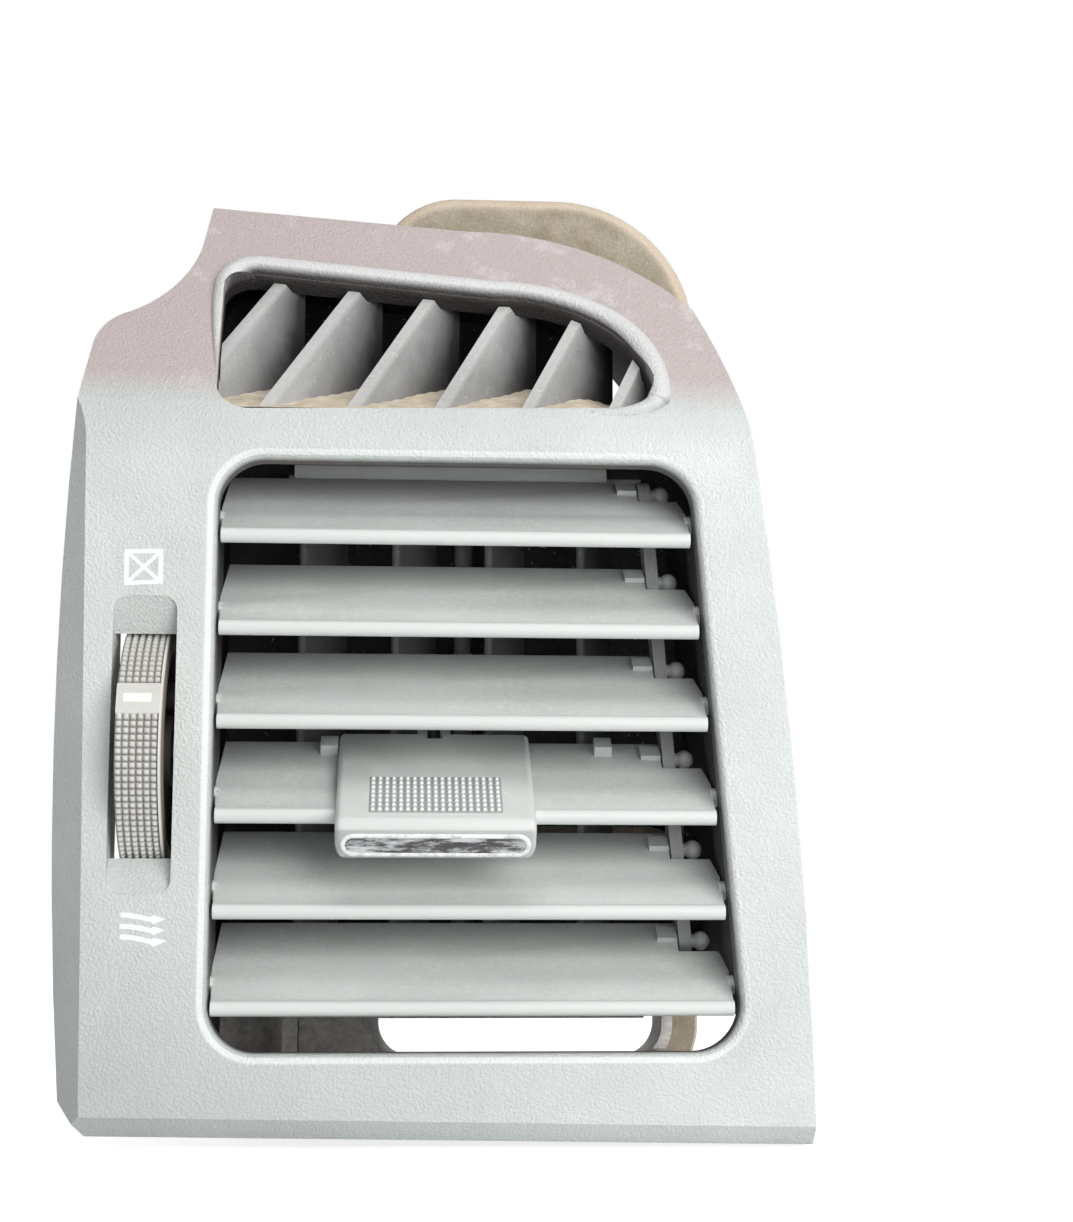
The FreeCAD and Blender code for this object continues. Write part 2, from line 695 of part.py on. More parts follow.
def stop_span(side):
    """X range of a knob stop on its louvre: left (-1) or right (1) of the knob's travel."""
    if side < 0:
        edge = KNOB_X - KNOB_WIDTH / 2 - STOP_GAP
        return edge - STOP_WIDTH, edge
    edge = KNOB_X + KNOB_TRAVEL + KNOB_WIDTH / 2 + STOP_GAP
    return edge, edge + STOP_WIDTH


def louvre(index):
    left = OUTLET_LEFT + END_GAP
    right = louvre_right(index)
    blade = louvre_section(left, right)
    start = PIVOT_U + TAPER_START
    for end, sign in ((left, 1), (right, -1)):
        outside = end - sign * FAR
        corners = [vector(end, start, -FAR), vector(outside, start, -FAR)]
        corners += [vector(outside, LOUVRE_CHORD, -FAR), vector(end + sign * REAR_TAPER, LOUVRE_CHORD, -FAR)]
        wedge = Part.Face(Part.makePolygon(corners + corners[:1])).extrude(vector(0, 0, 2 * FAR))
        blade = blade.cut(wedge)
    pin_u = PIVOT_U + CRANK_R
    face_x = crank_left(index)
    notch = block(face_x, FAR, pin_u - CRANK_NOTCH, LOUVRE_CHORD, -LIP_R, LIP_R)
    blade = blade.cut(notch)
    tab = block(face_x - CRANK_TAB_WIDTH, face_x, pin_u - CRANK_TAB_HALF, pin_u + CRANK_TAB_HALF,
                -CRANK_TAB_HALF, CRANK_TAB_HALF)
    pin_end = face_x + LINK_GAP * 2 + LINK_WALL + CRANK_BALL_R
    pin = rod_x(CRANK_PIN_R, face_x - CRANK_TAB_WIDTH / 2, pin_end, pin_u, 0)
    ball = Part.makeSphere(CRANK_BALL_R, vector(pin_end, pin_u, 0))
    pivot_left = rod_x(PIVOT_R, OUTLET_LEFT - STRIP_WALL + PIVOT_END_GAP, left + PIVOT_SUNK, PIVOT_U, 0)
    pivot_end = outlet_right(pivot_z(index)) + STRIP_WALL - PIVOT_END_GAP
    pivot_right = rod_x(PIVOT_R, right - PIVOT_SUNK, pivot_end, PIVOT_U, 0)
    parts = [blade, tab, pin, ball, pivot_left, pivot_right]
    if index == KNOB_LOUVRE:
        for side in (-1, 1):
            x0, x1 = stop_span(side)
            parts.append(block(x0, x1, LOUVRE_CHORD - LOUVRE_WALL - STOP_DEPTH, LOUVRE_CHORD - LOUVRE_WALL,
                               0, LOUVRE_WALL / 2 + STOP_HEIGHT))
    return tilted(fuse(parts), index)


def pivot_strip(side):
    """Bearing strip for the louvre pivots: left (-1) or right (1)."""
    low = OUTLET_BOTTOM + OUTLET_CORNER_R
    high = OUTLET_TOP - OUTLET_CORNER_R
    if side < 0:
        strip = block(OUTLET_LEFT - STRIP_WALL, OUTLET_LEFT, RIM_DEPTH, STRIP_REAR_Y, low, high)
    else:
        steps = [((outlet_right(low) + STRIP_WALL, low),), ((outlet_right(high) + STRIP_WALL, high),)]
        steps += [((outlet_right(high), high),), ((outlet_right(low), low),)]
        strip = along_y(outline_face((outlet_right(low), low), steps), RIM_DEPTH, STRIP_REAR_Y)
    for index in range(LOUVRE_COUNT):
        hole = rod_x(PIVOT_R + PIVOT_FIT, -FAR, FAR, PIVOT_Y, pivot_z(index))
        strip = strip.cut(hole)
    return strip


def crank_pin(index):
    """Y and Z of a louvre's crank pin at rest."""
    return PIVOT_Y + CRANK_R * math.cos(TILT), pivot_z(index) + CRANK_R * math.sin(TILT)


def louvre_link():
    y, top = crank_pin(0)
    bottom = crank_pin(LOUVRE_COUNT - 1)[1]
    x_top = crank_left(0) + LINK_GAP
    x_bottom = crank_left(LOUVRE_COUNT - 1) + LINK_GAP
    lean = (x_bottom - x_top) / (top - bottom)
    reach = LINK_WIDTH / 2
    high = top + reach
    low = bottom - reach
    steps = [((x_bottom + reach * lean, low),), ((x_bottom + reach * lean + LINK_WALL, low),)]
    steps += [((x_top - reach * lean + LINK_WALL, high),), ((x_top - reach * lean, high),)]
    bar = along_y(outline_face((x_top - reach * lean, high), steps), y - reach, y + reach)
    ends = fuse([
        rod_x(reach, -FAR, FAR, y, top),
        rod_x(reach, -FAR, FAR, y, bottom),
        block(-FAR, FAR, y - reach, y + reach, bottom, top),
    ])
    bar = bar.common(ends)
    for index in range(LOUVRE_COUNT):
        bar = bar.cut(rod_x(CRANK_PIN_R + LINK_FIT, -FAR, FAR, y, crank_pin(index)[1]))
    return bar


def knob_edges(body, low, high):
    """Edges of the nose's front that run from one height to another."""
    found = []
    for edge in body.Edges:
        box = edge.BoundBox
        if box.YMax < -KNOB_NOSE + SMALL and abs(box.ZMin - low) < SMALL and abs(box.ZMax - high) < SMALL:
            found.append(edge)
    return found


def knob_blank():
    """The knob's whole outer form in its louvre's axes."""
    left = KNOB_X - KNOB_WIDTH / 2
    body = block(left, left + KNOB_WIDTH, -KNOB_NOSE, KNOB_BACK, KNOB_BOTTOM, KNOB_TOP)
    body = body.makeFillet(KNOB_TOP_R, knob_edges(body, KNOB_TOP, KNOB_TOP))
    body = body.makeFillet(KNOB_LOW_R, knob_edges(body, KNOB_BOTTOM, KNOB_BOTTOM))
    upright = knob_edges(body, KNOB_BOTTOM + KNOB_LOW_R, KNOB_TOP - KNOB_TOP_R)
    return body.makeFillet(KNOB_CORNER_R, upright)


def knob_channel():
    """The slot that the louvre runs through."""
    gap = LIP_R + KNOB_GAP
    return fuse([rod_x(gap, -FAR, FAR, LIP_R, 0), block(-FAR, FAR, LIP_R, FAR, -gap, gap)])


def inlay_block():
    """Bar set in the knob's nose, a little proud of it."""
    left = KNOB_X - INLAY_WIDTH / 2
    low = INLAY_MIDDLE - INLAY_HEIGHT / 2
    face = rounded_window(left, left + INLAY_WIDTH, left + INLAY_WIDTH, low, low + INLAY_HEIGHT, INLAY_CORNER_R)
    return along_y(face, -KNOB_NOSE - INLAY_PROUD, -KNOB_NOSE + INLAY_WALL)


def knob_shell():
    """Upper half of the knob and its nose, with the pyramid grip on top."""
    body = knob_blank().cut(knob_channel())
    lower = block(-FAR, FAR, 0, FAR, -FAR, 0)
    body = body.cut(lower)
    half = KNOB_NOTCH / 2
    notch = block(KNOB_X - half, KNOB_X + half, KNOB_BACK - half, FAR, -FAR, FAR)
    body = body.cut(notch)
    body = body.cut(inlay_block())
    body = body.cut(pad_block())
    grip = []
    first_x = KNOB_X - (GRIP_COLUMNS - 1) / 2 * GRIP_PITCH_X
    first_u = GRIP_CENTRE_U - (GRIP_ROWS - 1) / 2 * GRIP_PITCH_U
    for column in range(GRIP_COLUMNS):
        for row in range(GRIP_ROWS):
            x = first_x + column * GRIP_PITCH_X
            u = first_u + row * GRIP_PITCH_U
            grip.append(pyramid(x, u, KNOB_TOP))
    return tilted(Part.makeCompound([body.multiFuse(grip)]), KNOB_LOUVRE)


def pyramid(x, u, w):
    """Small pyramid with a sunk foot, for the finger grip."""
    half_x = GRIP_PITCH_X * GRIP_FILL / 2
    half_u = GRIP_PITCH_U * GRIP_FILL / 2
    foot = w - GRIP_SUNK
    base = [vector(x - half_x, u - half_u, foot), vector(x + half_x, u - half_u, foot)]
    base += [vector(x + half_x, u + half_u, foot), vector(x - half_x, u + half_u, foot)]
    tip = vector(x, u, w + GRIP_HEIGHT)
    faces = [Part.Face(Part.makePolygon(base + base[:1]))]
    for corner in range(4):
        edge = [base[corner], base[(corner + 1) % 4], tip]
        faces.append(Part.Face(Part.makePolygon(edge + edge[:1])))
    return Part.Solid(Part.Shell(faces))


def pad_block():
    """Friction pad, set in the shell above the louvre."""
    half = PAD_WIDTH / 2
    start = KNOB_BACK - PAD_FROM_BACK - PAD_LENGTH / 2
    return block(KNOB_X - half, KNOB_X + half, start, start + PAD_LENGTH,
                 LOUVRE_WALL / 2 + PAD_GAP, KNOB_TOP - PAD_COVER)


def knob_base():
    """Lower half of the knob, with the fork that holds the vane driver's rod."""
    left = KNOB_X - KNOB_WIDTH / 2
    plate = block(left, left + KNOB_WIDTH, 0, KNOB_BASE_LENGTH, KNOB_BOTTOM, 0)
    half = SPINE_WIDTH / 2
    spine = block(KNOB_X - half, KNOB_X + half, KNOB_BASE_LENGTH - CUT_OVER, LOUVRE_CHORD + SPINE_OVER,
                  KNOB_BOTTOM, 0)
    tip = PIVOT_U + FORK_REACH
    gap = DRIVER_ROD_R + FORK_GAP
    prongs = []
    for side in (-1, 1):
        inner = KNOB_X + side * gap
        outer = KNOB_X + side * (gap + FORK_WALL)
        prongs.append(block(min(inner, outer), max(inner, outer), LOUVRE_CHORD, tip, KNOB_BOTTOM, LIP_R))
    base = fuse([plate, spine] + prongs)
    base = base.cut(block(-FAR, FAR, -FAR, LOUVRE_CHORD + FORK_STEP, -LIP_R - KNOB_GAP, FAR))
    base = base.cut(block(KNOB_X - gap, KNOB_X + gap, LOUVRE_CHORD - FORK_SLOT, FAR, -FAR, FAR))
    return tilted(base, KNOB_LOUVRE)


def at_vane(shape, x):
    """Moves a shape made about a vane's pivot, with its front at -Y, to its place and rest angle."""
    moved = shape.copy()
    moved.rotate(vector(0, 0, 0), vector(0, 0, 1), -VANE_REST_DEG)
    moved.translate(vector(x, VANE_PIVOT_Y, 0))
    return moved


def vane_x(index):
    return VANE_CENTRE_X + (index - (VANE_COUNT - 1) / 2.0) * VANE_PITCH


def vane_pins():
    """Pivot pins at a vane's top and bottom, and the crank pin that the link bar holds."""
    reach = BEARING_GAP + BEARING_WALL - VANE_PIN_END_GAP
    top = rod_z(VANE_PIN_R, VANE_TOP - VANE_PIN_R, VANE_TOP + reach, 0, 0)
    bottom = rod_z(VANE_PIN_R, VANE_BOTTOM - reach, VANE_BOTTOM + VANE_PIN_R, 0, 0)
    low = VANE_LINK_TOP - VANE_LINK_WALL - VANE_CRANK_PIN_R
    crank = rod_z(VANE_CRANK_PIN_R, low, VANE_LINK_TOP + VANE_LINK_ROOM + VANE_CRANK_PIN_R, 0, VANE_CRANK)
    return [top, bottom, crank]


def vane(index):
    half = VANE_WALL / 2
    plate = block(-half, half, -VANE_FRONT + half, VANE_REAR, VANE_BOTTOM, VANE_TOP)
    front = rod_z(half, VANE_BOTTOM, VANE_TOP, 0, -VANE_FRONT + half)
    notch = block(-VANE_WALL, VANE_WALL, VANE_NOTCH_START, VANE_REAR,
                  VANE_LINK_TOP - VANE_LINK_WALL - VANE_LINK_ROOM, VANE_LINK_TOP + VANE_LINK_ROOM)
    return at_vane(fuse([fuse([plate, front]).cut(notch)] + vane_pins()), vane_x(index))


def driver_rod_offset():
    """The rod's angle from the vanes' own direction: it starts half its turn to the left."""
    return VANE_TURN_DEG / 2.0 - VANE_REST_DEG


def vane_driver():
    """Lever with an upright rod in front, which the knob's fork moves, and a crank pin at the rear."""
    shaft = rod_z(DRIVER_SHAFT_R, VANE_BOTTOM, VANE_TOP, 0, 0)
    rod = rod_z(DRIVER_ROD_R, DRIVER_BOTTOM, DRIVER_TOP, 0, -DRIVER_LEVER)
    arms = []
    for z in (DRIVER_BOTTOM - DRIVER_ARM_WALL, DRIVER_TOP):
        arms.append(block(-DRIVER_ARM_R, DRIVER_ARM_R, -DRIVER_LEVER, 0, z, z + DRIVER_ARM_WALL))
        arms.append(rod_z(DRIVER_ARM_R, z, z + DRIVER_ARM_WALL, 0, -DRIVER_LEVER))
    lever = fuse([rod] + arms)
    lever.rotate(vector(0, 0, 0), vector(0, 0, 1), -driver_rod_offset())
    crank_z = VANE_LINK_TOP + VANE_LINK_ROOM
    crank = block(-DRIVER_ARM_R, DRIVER_ARM_R, 0, VANE_CRANK + DRIVER_ARM_R, crank_z, crank_z + DRIVER_ARM_WALL)
    return at_vane(fuse([shaft, lever, crank] + vane_pins()), VANE_CENTRE_X)


def vane_link():
    rest = math.radians(VANE_REST_DEG)
    y = VANE_PIVOT_Y + VANE_CRANK * math.cos(rest)
    offset = VANE_CRANK * math.sin(rest)
    reach = VANE_LINK_WIDTH / 2
    pins = [vane_x(index) for index in range(VANE_COUNT)] + [VANE_CENTRE_X]
    pins = [x + offset for x in sorted(pins)]
    low = VANE_LINK_TOP - VANE_LINK_WALL
    bar = fuse([
        block(pins[0], pins[-1], y - reach, y + reach, low, VANE_LINK_TOP),
        rod_z(reach, low, VANE_LINK_TOP, pins[0], y),
        rod_z(reach, low, VANE_LINK_TOP, pins[-1], y),
    ])
    for x in pins:
        bar = bar.cut(rod_z(VANE_CRANK_PIN_R + VANE_PIN_FIT, low - 1, VANE_LINK_TOP + 1, x, y))
    return bar


def bearing_bar(z0, z1, tongue):
    """Plate with the vanes' pivot holes, and a tongue in front of it if one is asked for."""
    front = VANE_PIVOT_Y - BEARING_FRONT
    left = vane_x(0) - BEARING_END
    right = vane_x(VANE_COUNT - 1) + BEARING_END
    plates = [block(left, right, front, VANE_PIVOT_Y + BEARING_REAR, z0, z1)]
    if tongue:
        plates.append(block(left + 1, right - BEARING_END, front - BEARING_TONGUE, front, z0, z1))
    bar = fuse(plates)
    for x in [vane_x(index) for index in range(VANE_COUNT)] + [VANE_CENTRE_X]:
        bar = bar.cut(rod_z(VANE_PIN_R + VANE_PIN_FIT, z0, z1, x, VANE_PIVOT_Y))
    return bar


def vane_bearing_top():
    low = VANE_TOP + BEARING_GAP
    return bearing_bar(low, HOUSING_TOP, True)


def vane_bearing_bottom():
    """Lower bar, with arms to the housing's side walls and a leg on its floor."""
    high = VANE_BOTTOM - BEARING_GAP
    low = high - BEARING_WALL
    left = vane_x(0) - BEARING_END
    right = vane_x(VANE_COUNT - 1) + BEARING_END
    front = VANE_PIVOT_Y
    rear = VANE_PIVOT_Y + BEARING_REAR
    arm = block(OUTLET_LEFT - STRIP_WALL, left + BEARING_LEG, front, rear, low, high)
    leg = block(left, left + BEARING_LEG, front, rear, HOUSING_BOTTOM, high)
    right_arm = block(right - BEARING_LEG, FAR, front, rear, low, high)
    room = along_y(duct_window(0), 0, HOUSING_REAR_Y)
    return fuse([bearing_bar(low, high, False), arm, leg, right_arm]).common(room)


def thumbwheel():
    """Wheel with a ribbed rim, a thinner web, a hub and a crank pin on its inner side."""
    ring = []
    inner = WHEEL_R - WHEEL_RIB_DEPTH
    for rib in range(2 * WHEEL_RIBS):
        angle = math.pi * rib / WHEEL_RIBS
        radius = WHEEL_R if rib % 2 == 0 else inner
        ring.append((WHEEL_Y + radius * math.cos(angle), WHEEL_Z + radius * math.sin(angle)))
    wheel = section_x(ring, WHEEL_LEFT, WHEEL_RIGHT)
    pocket_r = WHEEL_R - WHEEL_RIM
    side = (WHEEL_WIDTH - WHEEL_WEB) / 2
    for x0, x1 in ((WHEEL_LEFT, WHEEL_LEFT + side), (WHEEL_RIGHT - side, WHEEL_RIGHT)):
        pocket = rod_x(pocket_r, x0, x1, WHEEL_Y, WHEEL_Z)
        wheel = wheel.cut(pocket.cut(rod_x(WHEEL_HUB_R, x0, x1, WHEEL_Y, WHEEL_Z)))
    y, z = crank_point(WHEEL_Y, WHEEL_Z)
    boss = rod_x(ROD_PIN_R + ROD_BOSS_WALL, WHEEL_RIGHT - side - WHEEL_WEB / 2, WHEEL_RIGHT, y, z)
    pin = rod_x(ROD_PIN_R, WHEEL_RIGHT - side, ROD_X + ROD_WALL + ROD_PIN_OVER, y, z)
    wheel = fuse([wheel, boss, pin])
    wheel = wheel.cut(rod_x(AXLE_R + AXLE_FIT, WHEEL_LEFT, WHEEL_RIGHT, WHEEL_Y, WHEEL_Z))
    return wheel.cut(wheel_mark())


def wheel_mark():
    """Pale bar set in the rim."""
    left = WHEEL_LEFT + MARK_INSET
    bar = block(left, left + MARK_WIDTH, -WHEEL_R - MARK_PROUD, -WHEEL_R + MARK_WALL,
                -MARK_HEIGHT / 2, MARK_HEIGHT / 2)
    bar.rotate(vector(0, 0, 0), vector(1, 0, 0), -MARK_DEG)
    bar.translate(vector(0, WHEEL_Y, WHEEL_Z))
    return bar


def wheel_axle():
    head_right = WHEEL_LEFT - AXLE_END_GAP
    head_left = head_right - AXLE_HEAD_H
    axle = rod_x(AXLE_R, head_left, AXLE_END_X, WHEEL_Y, WHEEL_Z)
    head = rod_x(AXLE_HEAD_R, head_left, head_right, WHEEL_Y, WHEEL_Z)
    collar = rod_x(AXLE_COLLAR_R, WHEEL_RIGHT + AXLE_END_GAP, HOUSING_LEFT, WHEEL_Y, WHEEL_Z)
    return fuse([axle, head, collar])


def crank_point(y, z):
    """Centre of the rod's pin about a pivot, at rest."""
    angle = math.radians(ROD_CRANK_DEG)
    return y + ROD_CRANK * math.cos(angle), z + ROD_CRANK * math.sin(angle)


def at_flap(shape):
    moved = shape.copy()
    moved.rotate(vector(0, 0, 0), vector(1, 0, 0), FLAP_REST_DEG)
    moved.translate(vector(0, FLAP_Y, FLAP_Z))
    return moved


def flap_outline():
    """The flap's plan: X across, Z along, with round corners."""
    return rounded_window(INLET_LEFT + FLAP_GAP, INLET_RIGHT - FLAP_GAP, INLET_RIGHT - FLAP_GAP,
                          -FLAP_HALF, FLAP_HALF, INLET_CORNER_R)


def flap_plate(face, half_wall):
    plate = along_y(face, -half_wall, half_wall)
    plate.rotate(vector(0, 0, 0), vector(1, 0, 0), 90)
    return plate


def damper_flap():
    inner = grown(flap_outline(), -FLAP_SEAL_WALL)
    plate = flap_plate(inner, FLAP_WALL / 2)
    shaft = rod_x(FLAP_SHAFT_R, LEVER_LEFT, INLET_RIGHT + HOUSING_WALL + FLAP_SHAFT_OVER, 0, 0)
    return at_flap(fuse([plate, shaft]))


def damper_seal():
    """Foam edge round the flap, cut where the shaft passes."""
    ring = flap_plate(flap_outline(), FLAP_WALL / 2 + FLAP_SEAL_PROUD)
    ring = ring.cut(flap_plate(grown(flap_outline(), -FLAP_SEAL_WALL), FLAP_WALL))
    return at_flap(ring.cut(rod_x(FLAP_SHAFT_R + FLAP_SHAFT_SLOT, -FAR, FAR, 0, 0)))


def damper_lever():
    """Lever on the flap's shaft, with the pin that the rod holds."""
    x0 = LEVER_LEFT
    x1 = SHAFT_BRACKET_X - ROD_SIDE_GAP
    y, z = crank_point(FLAP_Y, FLAP_Z)
    hub = rod_x(FLAP_SHAFT_R + LEVER_WALL, x0, x1, FLAP_Y, FLAP_Z)
    eye = rod_x(ROD_PIN_R + LEVER_WALL, x0, x1, y, z)
    arm = block(x0, x1, -LEVER_HALF, LEVER_HALF, 0, ROD_CRANK)
    arm.rotate(vector(0, 0, 0), vector(1, 0, 0), ROD_CRANK_DEG - 90)
    arm.translate(vector(0, FLAP_Y, FLAP_Z))
    pin = rod_x(ROD_PIN_R, ROD_X - ROD_PIN_OVER, x1, y, z)
    lever = fuse([hub, eye, arm, pin])
    return lever.cut(rod_x(FLAP_SHAFT_R, x0, x1, FLAP_Y, FLAP_Z))


def damper_link():
    front = crank_point(WHEEL_Y, WHEEL_Z)
    rear = crank_point(FLAP_Y, FLAP_Z)
    length = math.hypot(rear[0] - front[0], rear[1] - front[1])
    angle = math.degrees(math.atan2(rear[1] - front[1], rear[0] - front[0]))
    reach = ROD_WIDTH / 2
    bar = fuse([
        block(ROD_X, ROD_X + ROD_WALL, 0, length, -reach, reach),
        rod_x(reach, ROD_X, ROD_X + ROD_WALL, 0, 0),
        rod_x(reach, ROD_X, ROD_X + ROD_WALL, length, 0),
    ])
    for y in (0, length):
        bar = bar.cut(rod_x(ROD_PIN_R + ROD_FIT, ROD_X, ROD_X + ROD_WALL, y, 0))
    bar.rotate(vector(0, 0, 0), vector(1, 0, 0), angle)
    bar.translate(vector(0, front[0], front[1]))
    return bar


def upright(point):
    """A point of the leaning face, seen straight from the front."""
    x, along = point
    return x, LEAN_START_Z + along * math.cos(LEAN)


def demister_window(extra):
    """Section of the box behind the slanted outlet: its opening with a margin, but with a flat floor."""
    steps = [tuple(upright(point) for point in step) for step in DEMISTER_STEPS]
    opening = outline_face(upright(DEMISTER_START), steps)
    window = opening.makeOffset2D(DEMISTER_MARGIN + extra, 0)
    low = DEMISTER_BOTTOM - extra
    corners = [vector(-FAR, 0, low), vector(FAR, 0, low), vector(FAR, 0, FAR), vector(-FAR, 0, FAR)]
    above = Part.Face(Part.makePolygon(corners + corners[:1]))
    return window.common(above).Faces[0]


def collar_window(extra):
    """The collar's section: small round corners, and a large one at the top right."""
    left = COLLAR_LEFT - extra
    right = COLLAR_RIGHT + extra
    low = COLLAR_BOTTOM - extra
    high = COLLAR_TOP + extra
    small = COLLAR_CORNER_R + extra
    large = COLLAR_LARGE_R + extra
    window = rounded_window(left, right, right, low, high, small)
    centre_x = right - large
    centre_z = high - large
    corner = block(centre_x, right, -SMALL, SMALL, centre_z, high)
    corner = corner.cut(rod_y(large, -CUT_OVER, CUT_OVER, centre_x, centre_z))
    return window.cut(corner).Faces[0]


def demister_duct():
    """Box behind the slanted outlet, closed at the left, with a collar that takes the foam ring."""
    outer = along_y(demister_window(0), 0, DEMISTER_REAR_Y)
    inner = along_y(demister_window(-DEMISTER_WALL), 0, DEMISTER_REAR_Y - DEMISTER_WALL)
    collar = along_y(collar_window(0), DEMISTER_REAR_Y - DEMISTER_WALL, COLLAR_END_Y)
    hollow = along_y(collar_window(-DEMISTER_WALL), DEMISTER_REAR_Y, COLLAR_END_Y)
    port = along_y(demister_window(-DEMISTER_WALL), 0, FAR)
    port = port.common(along_y(collar_window(-DEMISTER_WALL), 0, FAR))
    port = port.common(block(PORT_LEFT, FAR, 0, FAR, 0, FAR))
    duct = fuse([outer, collar]).cut(inner).cut(hollow).cut(port)
    return duct.common(panel_region(PANEL_WALL, FAR))


def demister_seal():
    """Foam ring round the demister duct's collar, with a lip over the collar's front."""
    ring = along_y(collar_window(FOAM_WALL), FOAM_FRONT_Y, COLLAR_END_Y)
    front = [edge for edge in ring.Edges if abs(edge.BoundBox.YMax - FOAM_FRONT_Y) < SMALL]
    ring = ring.makeFillet(FOAM_EDGE_R, front)
    ring = ring.cut(along_y(collar_window(0), DEMISTER_REAR_Y - DEMISTER_WALL, FAR))
    ring = ring.cut(along_y(demister_window(0), 0, DEMISTER_REAR_Y))
    return ring.cut(fascia_body())


def demister_grille():
    """Leaning frame with upright vanes that slant to the right as they go back, the left ones most."""
    room = demister_window(-DEMISTER_WALL - GRILLE_GAP)
    inner = demister_window(-DEMISTER_WALL - GRILLE_GAP - GRILLE_FRAME_WALL)
    frame_zone = panel_region(PANEL_WALL, PANEL_WALL + GRILLE_FRAME_DEPTH)
    frame = along_y(room, 0, FAR).cut(along_y(inner, 0, FAR)).common(frame_zone)
    opening = outline_face(DEMISTER_START, DEMISTER_STEPS)
    mouth = lean_back(along_y(grown(opening, -GRILLE_GAP), GRILLE_RECESS, PANEL_WALL + GRILLE_GAP))
    behind = along_y(room, 0, GRILLE_REAR_Y).common(panel_region(PANEL_WALL, FAR))
    floor = DEMISTER_BOTTOM + DEMISTER_WALL + GRILLE_GAP
    zone = fuse([mouth, behind]).common(block(-FAR, FAR, -FAR, FAR, floor, FAR))
    blades = []
    for index in range(GRILLE_COUNT):
        slant = GRILLE_SLANT - index * GRILLE_SLANT_STEP
        width = GRILLE_WALL * math.hypot(1, slant)
        shift = GRILLE_REAR_Y * slant
        left = GRILLE_FIRST_X + index * GRILLE_PITCH - width / 2
        corners = [vector(left, 0, 0), vector(left + width, 0, 0)]
        corners += [vector(left + width + shift, GRILLE_REAR_Y, 0), vector(left + shift, GRILLE_REAR_Y, 0)]
        blade = Part.Face(Part.makePolygon(corners + corners[:1])).extrude(vector(0, 0, FAR))
        blades.append(blade.common(zone))
    return fuse([frame] + blades)


def knob_inlay():
    return tilted(inlay_block(), KNOB_LOUVRE)


def knob_pad():
    return tilted(pad_block(), KNOB_LOUVRE)


def all_pieces():
    """Every piece by name, in the axes in which the pieces are made."""
    pieces = {
        "fascia_panel": fascia_panel(),
        "duct_housing": duct_housing(),
        "inlet_collar": inlet_collar(),
        "shaft_bracket": shaft_bracket(),
        "housing_screws": housing_screws(),
        "inlet_seal": inlet_seal(),
        "demister_duct": demister_duct(),
        "demister_seal": demister_seal(),
        "demister_grille": demister_grille(),
        "pivot_strip_left": pivot_strip(-1),
        "pivot_strip_right": pivot_strip(1),
        "vane_bearing_top": vane_bearing_top(),
        "vane_bearing_bottom": vane_bearing_bottom(),
        "louvre_link": louvre_link(),
        "knob_shell": knob_shell(),
        "knob_base": knob_base(),
        "knob_inlay": knob_inlay(),
        "knob_pad": knob_pad(),
        "vane_driver": vane_driver(),
        "vane_link": vane_link(),
        "thumbwheel": thumbwheel(),
        "wheel_mark": wheel_mark(),
        "wheel_axle": wheel_axle(),
        "damper_flap": damper_flap(),
        "damper_seal": damper_seal(),
        "damper_lever": damper_lever(),
        "damper_link": damper_link(),
    }
    for index in range(LOUVRE_COUNT):
        pieces["louvre_%d" % (index + 1)] = louvre(index)
    for index in range(VANE_COUNT):
        pieces["vane_%d" % (index + 1)] = vane(index)
    return pieces


def main():
    """Writes each piece with the origin at the centre of the four ear holes, on the ears' front faces."""
    os.makedirs("parts", exist_ok=True)
    for name, shape in all_pieces().items():
        shape.translate(vector(0, -EAR_Y, 0))
        shape.exportStep("parts/%s.step" % name)
        box = shape.BoundBox
        low = (round(box.XMin, 2), round(box.YMin, 2), round(box.ZMin, 2))
        high = (round(box.XMax, 2), round(box.YMax, 2), round(box.ZMax, 2))
        print(name, len(shape.Solids), shape.isValid(), round(shape.Volume, 1), low, high)


main()
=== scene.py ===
import json
import math

import bmesh
import bpy
import numpy as np
from mathutils import Matrix, Vector

